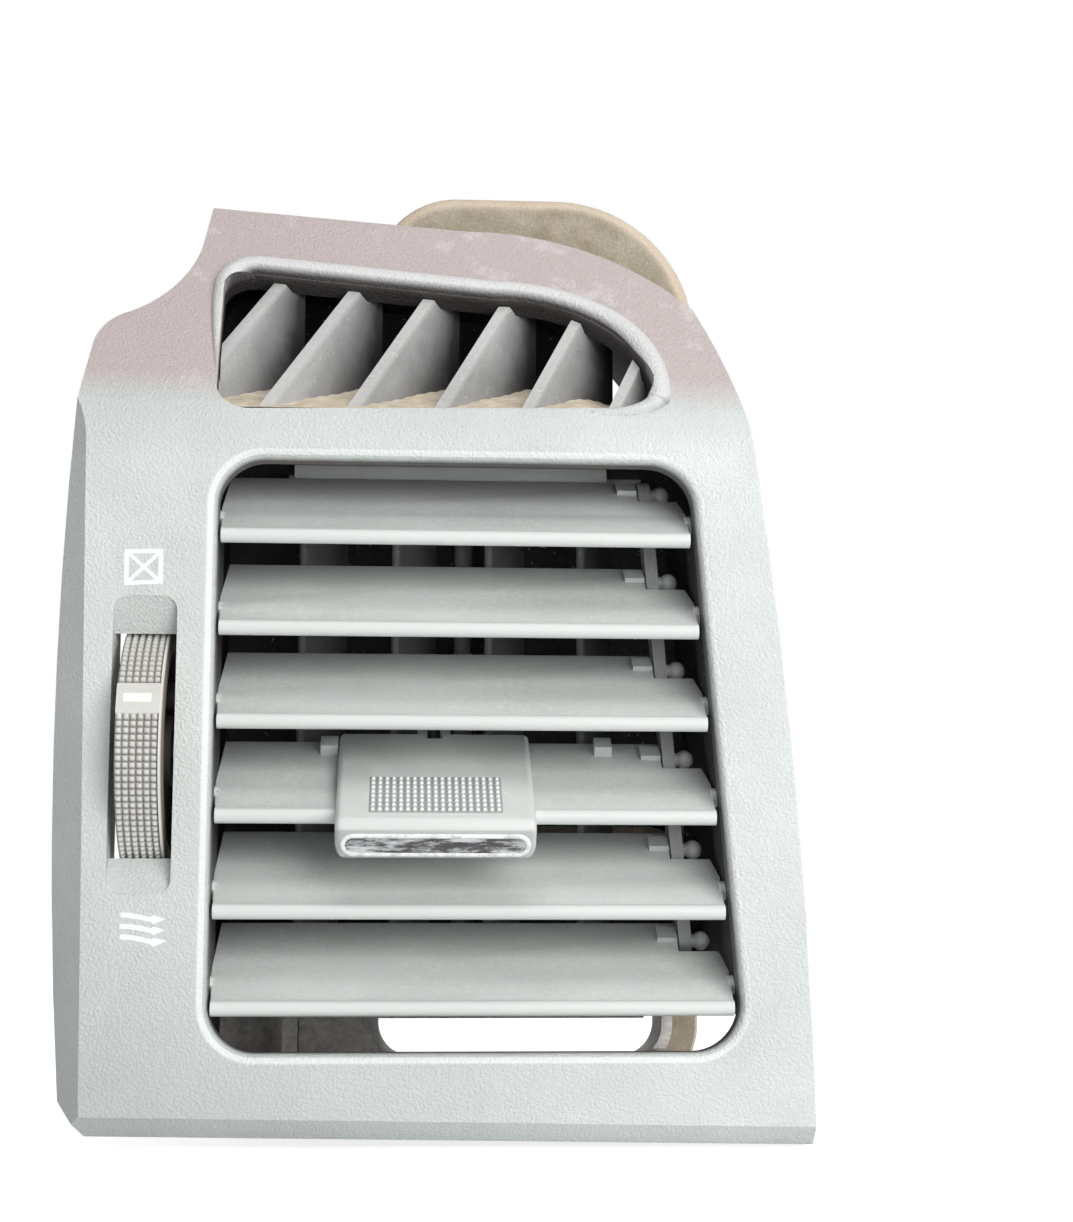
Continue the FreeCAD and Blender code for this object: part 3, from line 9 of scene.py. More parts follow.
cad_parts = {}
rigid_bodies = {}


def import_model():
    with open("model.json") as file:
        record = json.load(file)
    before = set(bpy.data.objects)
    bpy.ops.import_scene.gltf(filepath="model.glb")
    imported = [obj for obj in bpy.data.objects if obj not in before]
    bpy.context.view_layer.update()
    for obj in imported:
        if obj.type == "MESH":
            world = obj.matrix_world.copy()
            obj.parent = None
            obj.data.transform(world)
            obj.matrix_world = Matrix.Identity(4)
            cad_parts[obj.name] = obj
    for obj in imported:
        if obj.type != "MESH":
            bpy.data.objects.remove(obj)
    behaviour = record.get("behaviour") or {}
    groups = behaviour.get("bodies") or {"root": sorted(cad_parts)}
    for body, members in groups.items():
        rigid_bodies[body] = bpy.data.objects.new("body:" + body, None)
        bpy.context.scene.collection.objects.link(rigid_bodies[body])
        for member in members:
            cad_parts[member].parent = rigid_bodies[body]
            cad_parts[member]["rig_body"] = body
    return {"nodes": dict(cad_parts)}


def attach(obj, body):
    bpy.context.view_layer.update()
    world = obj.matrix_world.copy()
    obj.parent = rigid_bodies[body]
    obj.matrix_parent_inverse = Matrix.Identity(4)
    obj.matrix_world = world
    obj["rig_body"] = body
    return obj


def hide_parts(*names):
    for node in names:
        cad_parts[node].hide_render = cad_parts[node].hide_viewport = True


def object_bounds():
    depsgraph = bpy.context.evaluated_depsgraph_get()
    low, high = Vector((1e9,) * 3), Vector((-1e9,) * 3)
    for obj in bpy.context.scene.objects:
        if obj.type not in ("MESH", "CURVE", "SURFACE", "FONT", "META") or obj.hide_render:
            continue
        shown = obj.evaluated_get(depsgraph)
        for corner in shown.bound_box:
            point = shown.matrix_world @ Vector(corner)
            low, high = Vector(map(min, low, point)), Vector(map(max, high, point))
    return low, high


bl_info = {
    "name": "Dashboard Air Vent",
    "version": (1, 0, 0),
    "blender": (4, 5, 0),
    "location": "View3D > Sidebar > Air Vent",
    "description": "Dresses the packed air vent: moulded plastic, dust, foam, prints, stage and camera",
    "category": "Object",
}

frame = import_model()
CAD_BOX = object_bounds()
MM = 0.001

# The photograph's camera, from a fit of the flat front's corners
CAMERA_PLACE = (-0.008068, -0.278662, -0.017301)
CAMERA_LOOK_UP = 0.144494
CAMERA_ROLL = -0.001241
CAMERA_TURN = -0.065164
CAMERA_LENS = 62.6024
SENSOR = 36.0
WHITE = (1.0, 1.0, 1.0, 1.0)
# The floor's gap under the vent, and its reach to every side, in metres
FLOOR_GAP = 0.0003
FLOOR_REACH = 6.0

LOUVRES = ["louvre_%d" % number for number in range(1, 7)]
VANES = ["vane_%d" % number for number in range(1, 5)]

# Shared node groups and finishes by name, filled by the first operator
GROUPS = {}
MATERIALS = {}


# Meshes

def mesh_piece(name, mesh, body, finish, angle=None):
    """A closed piece from points in millimetres and faces, standing on a body with its origin at the
    frame's. Edges flatter than the angle, in degrees, are shaded softly."""
    points, faces = mesh
    data = bpy.data.meshes.new(name)
    data.from_pydata([tuple(p) for p in points * MM], [], [tuple(f) for f in faces])
    data.update()
    piece = bpy.data.objects.new(name, data)
    bpy.context.scene.collection.objects.link(piece)
    data.materials.append(MATERIALS[finish])
    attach(piece, body)
    outward(piece)
    if angle:
        smooth(piece, angle)
    return piece


def grid_faces(rows, columns, round_rows, round_columns):
    """Quads of a grid of points; a round direction joins its last line to its first."""
    row = np.arange(rows if round_rows else rows - 1)[:, None]
    column = np.arange(columns if round_columns else columns - 1)[None, :]
    next_row = (row + 1) % rows
    next_column = (column + 1) % columns
    quads = np.stack([row * columns + column, row * columns + next_column,
                      next_row * columns + next_column, next_row * columns + column], -1)
    return quads.reshape(-1, 4).tolist()


def smooth(piece, angle):
    """Soft shading over flat angles, sharp edges over steep ones."""
    for polygon in piece.data.polygons:
        polygon.use_smooth = True
    piece.data.set_sharp_from_angle(angle=math.radians(angle))


def outward(piece):
    """Makes the faces of a closed piece point outwards."""
    work = bmesh.new()
    work.from_mesh(piece.data)
    bmesh.ops.remove_doubles(work, verts=work.verts, dist=1e-7)
    bmesh.ops.recalc_face_normals(work, faces=work.faces)
    work.to_mesh(piece.data)
    work.free()


def softened(node, slot, width, segments=2, name=None, finish=None):
    """A merged copy of a CAD node with rounded edges, which stands for the node. The width is in
    millimetres; the finish has the slot's name unless another is given."""
    name = name or node + "_skin"
    source = frame["nodes"][node]
    work = bmesh.new()
    work.from_mesh(source.data)
    bmesh.ops.remove_doubles(work, verts=work.verts, dist=2e-6)
    bmesh.ops.dissolve_limit(work, angle_limit=math.radians(1.0), verts=work.verts, edges=work.edges)
    data = bpy.data.meshes.new(name)
    work.to_mesh(data)
    work.free()
    piece = bpy.data.objects.new(name, data)
    bpy.context.scene.collection.objects.link(piece)
    data.materials.append(MATERIALS[finish or slot])
    rounding = piece.modifiers.new("rounded_edges", "BEVEL")
    rounding.width = width * MM
    rounding.segments = segments
    rounding.limit_method = "ANGLE"
    rounding.angle_limit = math.radians(32)
    smooth(piece, 40)
    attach(piece, source["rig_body"])
    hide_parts(node)
    return piece


def joined(parts):
    """Points and faces of several grids as one."""
    points = []
    faces = []
    start = 0
    for grid, quads in parts:
        points.append(grid)
        faces += [tuple(v + start for v in quad) for quad in quads]
        start += len(grid)
    return np.concatenate(points), faces


def turn_axes(y, z, angle):
    """Lengths along and up, in axes turned by an angle about X, of lengths in Y and Z."""
    cos, sin = math.cos(angle), math.sin(angle)
    return y * cos + z * sin, z * cos - y * sin


def curve(corners, t):
    """Points on the smooth curve that a few corners steer, at shares t of its run."""
    degree = len(corners) - 1
    weights = [math.comb(degree, k) * t ** k * (1 - t) ** (degree - k) for k in range(degree + 1)]
    return np.stack(weights, -1) @ np.asarray(corners, float)


def turned(profile_x, radius, centre, angles, closed):
    """Profile turned about an axis along X: each point sits at its profile x and, round the axis, at its
    radius. Radius holds one row per angle and one column per profile point; a ring's profile closes."""
    x = np.broadcast_to(profile_x, radius.shape)
    y = centre[0] + radius * np.cos(angles)[:, None]
    z = centre[1] + radius * np.sin(angles)[:, None]
    return np.stack([x, y, z], -1).reshape(-1, 3), grid_faces(*radius.shape, True, closed)


def turned_stud(profile_x, radii, centre, count=32):
    """Stud about an axis along X: profile radii turned round the axis, a point at each end."""
    angles = np.linspace(0, 2 * math.pi, count, endpoint=False)
    return turned(profile_x, np.broadcast_to(radii, (count, len(radii))), centre, angles, False)


def tube_along(path, across, radii, closed=True, count=12, sizes=1.0):
    """Tube along a path: round the path each point is the path point plus its side direction times the
    cosine and the given across direction times the sine of the tube's angle, scaled by the two radii
    and by the size at that place. An open tube closes to a point at each end."""
    following = np.roll(path, -1, 0) - np.roll(path, 1, 0)
    if not closed:
        following[0] = path[1] - path[0]
        following[-1] = path[-1] - path[-2]
    following /= np.linalg.norm(following, axis=1)[:, None]
    side = np.cross(following, across)
    side /= np.linalg.norm(side, axis=1)[:, None]
    angles = np.linspace(0, 2 * math.pi, count, endpoint=False)
    scale = np.ones(len(path)) * sizes
    if not closed:
        scale[0] = scale[-1] = 0.0
    ring_side = side[:, None, :] * (radii[0] * np.cos(angles))[None, :, None]
    ring_across = np.asarray(across, float)[None, None, :] * (radii[1] * np.sin(angles))[None, :, None]
    points = path[:, None, :] + (ring_side + ring_across) * scale[:, None, None]
    return points.reshape(-1, 3), grid_faces(len(path), count, closed, True)


def closed_tube(grid):
    """Points and faces of a grid whose columns run round it, closed at both ends to their middles."""
    first, last = [np.broadcast_to(grid[k].mean(0), grid[:1].shape) for k in (0, -1)]
    grid = np.concatenate([first, grid, last])
    return grid.reshape(-1, 3), grid_faces(*grid.shape[:2], False, True)


def flat_rows(one, two, y_front, y_rear):
    """Grid between two lines in X and Z: rows are their points, columns the first and the second line at
    the front, then the second and the first at the rear."""
    corners = ((one, y_front), (two, y_front), (two, y_rear), (one, y_rear))
    lines = [np.stack([edge[:, 0], np.full(len(edge), y), edge[:, 1]], -1) for edge, y in corners]
    return np.stack(lines, 1)


def strip(path, widths, y_front, y_rear):
    """Flat printed line: the path in X and Z, moved half its width to either side, with a front and a
    rear face; each end is closed flat."""
    along = np.gradient(path, axis=0)
    along /= np.linalg.norm(along, axis=1)[:, None]
    normal = np.stack([-along[:, 1], along[:, 0]], -1) * (widths / 2.0)[:, None]
    return closed_tube(flat_rows(path + normal, path - normal, y_front, y_rear))


# Pieces made here

PANEL_FRONT = -34.0
WHEEL_CENTRE = (-23.2, 2.6)
WHEEL_SIDES = (-39.9, -34.6)
WHEEL_R = 15.0
WHEEL_ROWS = 118
WHEEL_COLUMNS = 6
COLUMN_PITCH = 0.8
RIB_DEPTH = 0.4
MARK_ANGLE = math.pi - math.radians(19.3)
MARK_HALF = 0.135
MARK_SOFT = 0.012
CRANK_CENTRE = (-20.886, 9.207)
KNOB_PIVOT = (-28.469, -2.934)
KNOB_TILT = math.radians(34.0)
PIVOT_FROM_FRONT = 5.4
KNOB_CENTRE = -3.65
NOSE_U = -4.4
INLAY_W = -0.6
KNOB_HALF = 11.45
KNOB_LOW = -2.6
KNOB_HIGH = 2.3
KNOB_LOW_R = 1.9
KNOB_HIGH_R = 0.7
KNOB_CUTS = (-2.5, -2.35, -2.15, -1.9, -1.6, -1.25, -0.9, 1.55, 1.8, 2.0, 2.15, 2.25)
LOUVRE_PITCH = 10.9
LEFT_END = -26.5
RIGHT_END = 2.0
TAPER_FROM = 2.0
TAPER_RUN = 15.6
TAPER_LEFT = 1.15
TAPER_RIGHT = 0.6


def knob_frame(points):
    """From the knob's own axes (x, along the louvre from its lip, up from the louvre) to the frame."""
    y, z = turn_axes(points[:, 1] - PIVOT_FROM_FRONT, points[:, 2], -KNOB_TILT)
    return np.stack([points[:, 0], KNOB_PIVOT[0] + y, KNOB_PIVOT[1] + z], -1)


def louvre_axes(points, pivot_z):
    """From the frame to a louvre's own axes: x, along it from its lip, and up from it."""
    along, up = turn_axes(points[:, 1] - KNOB_PIVOT[0], points[:, 2] - pivot_z, KNOB_TILT)
    return np.stack([points[:, 0], along + PIVOT_FROM_FRONT, up], -1)


def read_points(piece):
    """A piece's points in millimetres."""
    points = np.empty(len(piece.data.vertices) * 3)
    piece.data.vertices.foreach_get("co", points)
    return points.reshape(-1, 3) / MM


def write_points(piece, points):
    """Moves a piece's points to places in millimetres."""
    piece.data.vertices.foreach_set("co", (points * MM).ravel())
    piece.data.update()


def round_knob(piece):
    """Rounds the knob's long side edges: it is cut at a set of heights, then no point may lie further
    out than the circle of the lower or the upper corner allows at its height."""
    work = bmesh.new()
    work.from_mesh(piece.data)
    up = (0.0, -math.sin(KNOB_TILT), math.cos(KNOB_TILT))
    for height in KNOB_CUTS:
        centre = knob_frame(np.array([[0.0, 5.0, height]]))[0] * MM
        everything = work.verts[:] + work.edges[:] + work.faces[:]
        bmesh.ops.bisect_plane(work, geom=everything, dist=1e-7, plane_co=centre, plane_no=up)
    work.to_mesh(piece.data)
    work.free()
    own = louvre_axes(read_points(piece), KNOB_PIVOT[1])
    deep = np.clip(KNOB_LOW_R - (own[:, 2] - KNOB_LOW), 0.0, KNOB_LOW_R)
    tall = np.clip(KNOB_HIGH_R - (KNOB_HIGH - own[:, 2]), 0.0, KNOB_HIGH_R)
    inward = KNOB_LOW_R - np.sqrt(KNOB_LOW_R ** 2 - deep ** 2)
    inward = np.maximum(inward, KNOB_HIGH_R - np.sqrt(KNOB_HIGH_R ** 2 - tall ** 2))
    reach = KNOB_HALF - inward
    own[:, 0] = KNOB_CENTRE + np.clip(own[:, 0] - KNOB_CENTRE, -reach, reach)
    write_points(piece, knob_frame(own))
    work = bmesh.new()
    work.from_mesh(piece.data)
    bmesh.ops.remove_doubles(work, verts=work.verts, dist=2e-6)
    bmesh.ops.dissolve_degenerate(work, dist=2e-6, edges=work.edges)
    work.to_mesh(piece.data)
    work.free()
    smooth(piece, 40)


def widen_louvre(piece, index):
    """Takes back a louvre's taper: points at either end move out in step with their way from the lip."""
    points = read_points(piece)
    own = louvre_axes(points, KNOB_PIVOT[1] + (LOUVRES.index("louvre_4") - index) * LOUVRE_PITCH)
    share = np.clip((own[:, 1] - TAPER_FROM) / TAPER_RUN, 0.0, 1.0) * (np.abs(own[:, 2]) < 1.0)
    left = points[:, 0] < LEFT_END
    right = points[:, 0] > points[:, 0].max() - RIGHT_END
    points[:, 0] += share * (right * TAPER_RIGHT - left * TAPER_LEFT)
    write_points(piece, points)


def pad_height(place, edge):
    """Flat-topped ridge of height 1 over each whole number's cell, 0 at the cell's ends."""
    inside = place - np.floor(place)
    return np.clip((0.5 - np.abs(inside - 0.5)) / edge, 0.0, 1.0)


def wheel_mesh():
    """Wheel turned about X. The profile goes over the rim, down the right side, through the bore and up
    the left side. On the rim the radius drops by the rib depth between the pads of a grid of columns
    across and rows round, and stays full on the strip beside them and on a band round the mark."""
    left, right = WHEEL_SIDES
    start = left + 0.05
    fractions = np.array([0.0, 0.2, 0.35, 0.65, 0.8])
    across = (start + (np.arange(WHEEL_COLUMNS)[:, None] + fractions[None, :]) * COLUMN_PITCH).ravel()
    across = np.append(across, start + WHEEL_COLUMNS * COLUMN_PITCH)
    web = (right - left - 2.6) / 2
    outer = [(left + 0.02, WHEEL_R - 0.6), (left + 0.03, WHEEL_R - 0.45)] + [(x, WHEEL_R) for x in across]
    outer += [(right - 0.35, WHEEL_R), (right - 0.18, WHEEL_R - 0.06), (right - 0.05, WHEEL_R - 0.2),
              (right, WHEEL_R - 0.4), (right, 12.2), (right - 0.1, 12.0), (right - web, 11.9),
              (right - web, 4.4), (right - web + 0.1, 4.2), (right - 0.1, 4.2), (right, 4.1), (right, 2.3),
              (right - 0.15, 2.06), (left + 0.15, 2.06), (left, 2.3), (left, 4.1), (left + 0.1, 4.2),
              (left + web - 0.1, 4.2), (left + web, 4.4), (left + web, 11.9), (left + 0.1, 12.0),
              (left, 12.2), (left, WHEEL_R - 0.75)]
    profile = np.array(outer)
    rows = (np.arange(WHEEL_ROWS)[:, None] + np.array([0.0, 0.22, 0.4, 0.6, 0.78])[None, :]).ravel()
    angles = rows / WHEEL_ROWS * 2 * math.pi
    pads = pad_height(rows, 0.3)[:, None] * pad_height((profile[:, 0] - start) / COLUMN_PITCH, 0.28)[None, :]
    away = np.abs((angles - MARK_ANGLE + math.pi) % (2 * math.pi) - math.pi)
    plain = np.clip((MARK_HALF - away) / MARK_SOFT, 0.0, 1.0)[:, None]
    on_rim = (profile[:, 1] > WHEEL_R - 0.001) & (profile[:, 0] <= start + WHEEL_COLUMNS * COLUMN_PITCH)
    drop = RIB_DEPTH * (1.0 - np.maximum(pads, plain)) * on_rim[None, :]
    radius = profile[:, 1][None, :] - drop
    ring = turned(profile[:, 0], radius, WHEEL_CENTRE, angles, True)
    boss = turned_stud([-36.0, -36.0, -34.75, -34.6, -34.6], [0.0, 2.2, 2.2, 2.05, 0.0], CRANK_CENTRE)
    pin = turned_stud([-35.5, -35.5, -33.0, -32.8, -32.8], [0.0, 1.3, 1.3, 1.1, 0.0], CRANK_CENTRE)
    return joined([ring, boss, pin])


def inlay_frame_mesh():
    """Bright bead round the knob's inlay: a tube along a stadium, flatter than it is wide."""
    half = 10.55
    end_r = 1.2
    t = np.linspace(-math.pi / 2, math.pi / 2, 17)
    right = np.stack([half - end_r + end_r * np.cos(t), end_r * np.sin(t)], -1)
    path = np.concatenate([right, -right])
    points = np.stack([KNOB_CENTRE + path[:, 0], np.full(len(path), NOSE_U - 0.02), INLAY_W + path[:, 1]], -1)
    grid, faces = tube_along(points, np.array([0.0, 1.0, 0.0]), (0.3, 0.18), True, 12)
    return knob_frame(grid), faces


def square_ring(corners, width, y_front, y_rear):
    """Printed square with mitred corners, whose inner corners lie on the way to the middle."""
    outer = np.asarray(corners, float)
    middle = outer.mean(0)
    inner = middle + (outer - middle) * (1.0 - 2.0 * width / np.ptp(outer[:, 0]))
    grid = flat_rows(outer, inner, y_front, y_rear)
    return grid.reshape(-1, 3), grid_faces(len(outer), 4, True, True)


SQUARE = ((-39.84, 25.05), (-35.4, 25.17), (-35.36, 21.1), (-39.78, 20.88))
SIGN_LINE = 0.52
ARROWS = (
    ((-39.1, -16.77), (-37.6, -16.8), (-36.5, -17.13), (-35.6, -17.3), (-35.42, -17.32), (-34.1, -17.24)),
    ((-39.16, -18.02), (-37.6, -18.05), (-36.5, -18.32), (-35.6, -18.52), (-35.4, -18.54), (-34.1, -18.47)),
    ((-39.08, -19.2), (-37.6, -19.25), (-36.5, -19.52), (-35.6, -19.8), (-35.35, -19.82), (-33.95, -19.68)),
)
ARROW_WIDTH = 0.57
HEAD_WIDTHS = (1.02, 0.05)


def arrow_line(corners):
    """Smooth path through an arrow's corners up to the head, with the widths that go with it."""
    t = np.linspace(0.0, 1.0, 15)
    path = np.concatenate([curve(corners[:4], t), corners[4:]])
    return path, np.concatenate([np.full(len(t), ARROW_WIDTH), HEAD_WIDTHS])


def symbol_mesh():
    """Two printed signs: a square with a cross, and three waved arrows that point to the right. Layers
    of ink that cross lie a hair's breadth apart."""
    front = PANEL_FRONT - 0.03
    rear = PANEL_FRONT + 0.03
    parts = [square_ring(SQUARE, SIGN_LINE, front, rear)]
    a, b, c, d = [np.asarray(corner) for corner in SQUARE]
    for start, end, lift in ((a, c, 0.01), (b, d, 0.016)):
        middle = (start + end) / 2.0
        line = np.linspace(middle + (start - middle) * 0.93, middle + (end - middle) * 0.93, 4)
        parts.append(strip(line, np.full(4, 0.42), front + lift, rear - lift))
    for corners in ARROWS:
        path, widths = arrow_line(corners)
        parts.append(strip(path, widths, front, rear))
    return joined(parts)


LEAN = math.radians(33.0)
BEND_Z = 41.0


def on_face(x, along, depth):
    """From the leaning face's own axes (x, up along it from the bend, into it) to the frame."""
    y, z = turn_axes(depth, along, LEAN)
    return np.stack([x, PANEL_FRONT + y, BEND_Z + z], -1)


BEAD_TAILS = (
    ((-29.95, 23.3), (-30.5, 20.6), (-30.45, 17.0), (-30.3, 12.0), (-30.15, 7.5)),
    ((22.75, 5.1), (22.75, 3.2), (20.9, 2.1), (18.0, 1.8), (14.0, 1.9)),
)
BEAD_TAIL_R = (1.43, 0.38)
BEAD_TAIL_DEPTH = (0.1, 0.42)
# The slanted opening's lower corners: their circles' centres and radii, and its edges beside them
CORNER_CIRCLES = ((-26.465, 21.995, 3.635), (17.75, 6.95, 4.457))
LEFT_EDGE = -30.1
LOWER_EDGE = 2.493


def clear_of_opening(points):
    """Moves points that lie in the slanted opening out to its edge: away from the centre of the two
    corners' circles, and beside them to the straight left edge and the straight lower edge."""
    depth, along = turn_axes(points[:, 1] - PANEL_FRONT, points[:, 2] - BEND_Z, -LEAN)
    x = points[:, 0]
    for centre_x, centre_along, radius in CORNER_CIRCLES:
        side = math.copysign(1.0, centre_x)
        away_x = x - centre_x
        away_along = along - centre_along
        reach = np.maximum(np.hypot(away_x, away_along), 1e-6)
        near = (away_x * side > 0) & (away_along * side < 0) & (reach < radius)
        x = np.where(near, centre_x + away_x * radius / reach, x)
        along = np.where(near, centre_along + away_along * radius / reach, along)
    x = np.where((x < -20.0) & (along <= CORNER_CIRCLES[0][1]), np.minimum(x, LEFT_EDGE), x)
    beside = (x > 0.0) & (x <= CORNER_CIRCLES[1][0])
    along = np.where(beside, np.minimum(along, LOWER_EDGE), along)
    return on_face(x, along, depth)


def bead_tail_mesh():
    """The bead's two ends: each a tube on the leaning face that thins and sinks as it runs out."""
    parts = []
    t = np.linspace(0.0, 1.0, 33)
    size = BEAD_TAIL_R[0] - (BEAD_TAIL_R[0] - BEAD_TAIL_R[1]) * t ** 1.1
    depth = BEAD_TAIL_DEPTH[0] + (BEAD_TAIL_DEPTH[1] - BEAD_TAIL_DEPTH[0]) * t
    normal = np.array([0.0, -math.cos(LEAN), math.sin(LEAN)])
    for corners in BEAD_TAILS:
        flat = curve(corners, t)
        points, faces = tube_along(on_face(flat[:, 0], flat[:, 1], depth), normal, (1.0, 1.0), False, 24, size)
        parts.append((clear_of_opening(points), faces))
    return joined(parts)


SILL_FRONT = (-32.2, 42.7)
SILL_RISE = 0.44
SILL_X = (-29.6, 21.6)
SILL_REAR = -18.2


def sill_mesh():
    """Dusty wedge on the floor of the slanted outlet: it rises to the rear, with low waves, and stands
    on a flat base. Rows run to the right, columns along the section from front to rear and back."""
    x = np.linspace(*SILL_X, 120)[:, None]
    y = np.linspace(SILL_FRONT[0], SILL_REAR, 26)[None, :]
    run = y - SILL_FRONT[0]
    wave = 0.12 * np.sin(x * 1.9 + run * 0.7) * np.sin(run * 1.1 + x * 0.35)
    right = np.clip((x - 13.0) / 6.0, 0.0, 1.0)
    top = SILL_FRONT[1] + run * SILL_RISE * (1.0 - 0.35 * right) + wave * np.clip(run, 0.0, 1.0)
    grid = np.stack([np.broadcast_to(x, top.shape), np.broadcast_to(y, top.shape), top], -1)
    base = grid[:, ::-1].copy()
    base[:, :, 2] = SILL_FRONT[1] - 0.05
    return closed_tube(np.concatenate([grid, base], 1))


# Nodes

def feed(tree, socket, value):
    """Links another node's output to an input, or sets the input to a plain value."""
    if isinstance(value, bpy.types.NodeSocket):
        tree.links.new(value, socket)
    else:
        socket.default_value = value


def feed_all(tree, sockets, values):
    """Links or sets several inputs, given by name."""
    for name, value in values.items():
        feed(tree, sockets[name], value)


def add_node(tree, kind, inputs=(), **settings):
    """A node with its settings; inputs are (input, value or other node's output) pairs."""
    item = tree.nodes.new(kind)
    for key, value in settings.items():
        setattr(item, key, value)
    for key, value in inputs:
        feed(tree, item.inputs[key], value)
    return item


def split(tree, vector):
    """X, Y and Z of a vector."""
    return add_node(tree, "ShaderNodeSeparateXYZ", [(0, vector)]).outputs


def facing(tree, axis):
    """How far the surface looks along an axis, -1 to 1."""
    return split(tree, add_node(tree, "ShaderNodeNewGeometry").outputs["Normal"])[axis]


def vector_calc(tree, operation, a, b, output="Vector"):
    """Result of a vector operation."""
    return add_node(tree, "ShaderNodeVectorMath", [(0, a), (1, b)], operation=operation).outputs[output]


def calc(tree, operation, a, b=0.0, clamp=False):
    """Result of a number operation."""
    item = add_node(tree, "ShaderNodeMath", [(0, a), (1, b)], operation=operation, use_clamp=clamp)
    return item.outputs[0]


def times(tree, *values, clamp=False):
    """Product of two or more numbers."""
    product = values[0]
    for value in values[1:]:
        product = calc(tree, "MULTIPLY", product, value, clamp)
    return product


def plus(tree, a, b, clamp=False):
    """Sum of two numbers."""
    return calc(tree, "ADD", a, b, clamp)


def minus(tree, a, b):
    """First number less the second."""
    return calc(tree, "SUBTRACT", a, b)


def blend(tree, first, second, amount):
    """Mixes two colours by an amount."""
    item = add_node(tree, "ShaderNodeMix", data_type="RGBA")
    for key, value in (("Factor_Float", amount), ("A_Color", first), ("B_Color", second)):
        feed(tree, next(s for s in item.inputs if s.identifier == key), value)
    return next(s for s in item.outputs if s.identifier == "Result_Color")


def ramp(tree, value, low, high, a=0.0, b=1.0):
    """Straight map of a value from low..high to a..b, held at the ends."""
    item = add_node(tree, "ShaderNodeMapRange", [("Value", value), ("From Min", low), ("From Max", high),
                                                 ("To Min", a), ("To Max", b)])
    return item.outputs["Result"]


def ramp_mm(tree, value, low, high):
    """Straight map of a length from low..high, in millimetres, to 0..1."""
    return ramp(tree, value, low * MM, high * MM)


def band(tree, value, low, high, soft):
    """1 between low and high, with soft ends, all in millimetres."""
    return times(tree, ramp_mm(tree, value, low - soft, low), ramp_mm(tree, value, high + soft, high))


def noise(tree, place, scale, detail=3.0, rough=0.55):
    """Noise from 0 to 1; the scale counts its waves in a metre."""
    item = add_node(tree, "ShaderNodeTexNoise", [("Vector", place), ("Scale", scale), ("Detail", detail),
                                                 ("Roughness", rough)])
    return item.outputs["Fac"]


def stirred(tree, place, scale, reach):
    """A place moved by noise, up to the reach in metres along each axis."""
    shake = add_node(tree, "ShaderNodeTexNoise", [("Vector", place), ("Scale", scale)]).outputs["Color"]
    return vector_calc(tree, "ADD", place, vector_calc(tree, "MULTIPLY", shake, (reach, reach, reach)))


def cells(tree, place, size):
    """Distance to the nearest of scattered points, in shares of their spacing, and its own colour. The
    spacing is in millimetres."""
    density = calc(tree, "DIVIDE", 1.0 / MM, size)
    return add_node(tree, "ShaderNodeTexVoronoi", [("Vector", place), ("Scale", density)]).outputs


def turned_lengths(tree, y, z, angle):
    """Node form of turn_axes: lengths along and up in axes turned by an angle about X."""
    cos, sin = math.cos(angle), math.sin(angle)
    along = plus(tree, times(tree, y, cos), times(tree, z, sin))
    return along, minus(tree, times(tree, z, cos), times(tree, y, sin))


def new_group(name, inputs, outputs):
    """Node group with a place, number inputs (name: default) and number outputs. Returns the tree, the
    values that come in and the sockets that go out."""
    tree = bpy.data.node_groups.new(name, "ShaderNodeTree")
    tree.interface.new_socket(name="Place", in_out="INPUT", socket_type="NodeSocketVector")
    for label, value in inputs.items():
        socket = tree.interface.new_socket(name=label, in_out="INPUT", socket_type="NodeSocketFloat")
        socket.default_value = value
    for label in outputs:
        tree.interface.new_socket(name=label, in_out="OUTPUT", socket_type="NodeSocketFloat")
    return tree, tree.nodes.new("NodeGroupInput").outputs, tree.nodes.new("NodeGroupOutput").inputs


def make_leather_grain():
    """Height of fine moulded grain: small cells with soft valleys, broken up by noise."""
    tree, begin, end = new_group("leather_grain", {"Cell Size": 0.5}, ("Height", "Valley"))
    place = begin["Place"]
    distance = cells(tree, stirred(tree, place, 900.0, 0.0007), begin["Cell Size"])["Distance"]
    fine = noise(tree, place, 2600.0, 2.0)
    raised = ramp(tree, distance, 0.1, 0.75, 1.0, 0.0)
    feed_all(tree, end, {"Height": plus(tree, times(tree, raised, 0.75), times(tree, fine, 0.5)),
                         "Valley": minus(tree, 1.0, raised)})
    return tree


def make_dust():
    """Dust masks: a film in drifts on faces that look up, and rare specks."""
    tree, begin, end = new_group("settled_dust", {"Amount": 0.5, "Speck Size": 0.7}, ("Mask", "Specks"))
    place = begin["Place"]
    upward = ramp(tree, facing(tree, "Z"), -0.1, 0.8)
    drift = ramp(tree, noise(tree, place, 120.0, 4.0, 0.6), 0.35, 0.7)
    film = ramp(tree, noise(tree, place, 1400.0, 3.0, 0.7), 0.4, 0.72)
    both = times(tree, plus(tree, times(tree, drift, 0.65), 0.35), film)
    point = cells(tree, stirred(tree, place, 240.0, 0.008), begin["Speck Size"])
    near = ramp(tree, point["Distance"], 0.12, 0.22, 1.0, 0.0)
    rare = ramp(tree, split(tree, point["Color"])["X"], 0.84, 0.88)
    feed_all(tree, end, {"Mask": times(tree, both, upward, begin["Amount"], clamp=True),
                         "Specks": times(tree, near, rare, begin["Amount"], clamp=True)})
    return tree


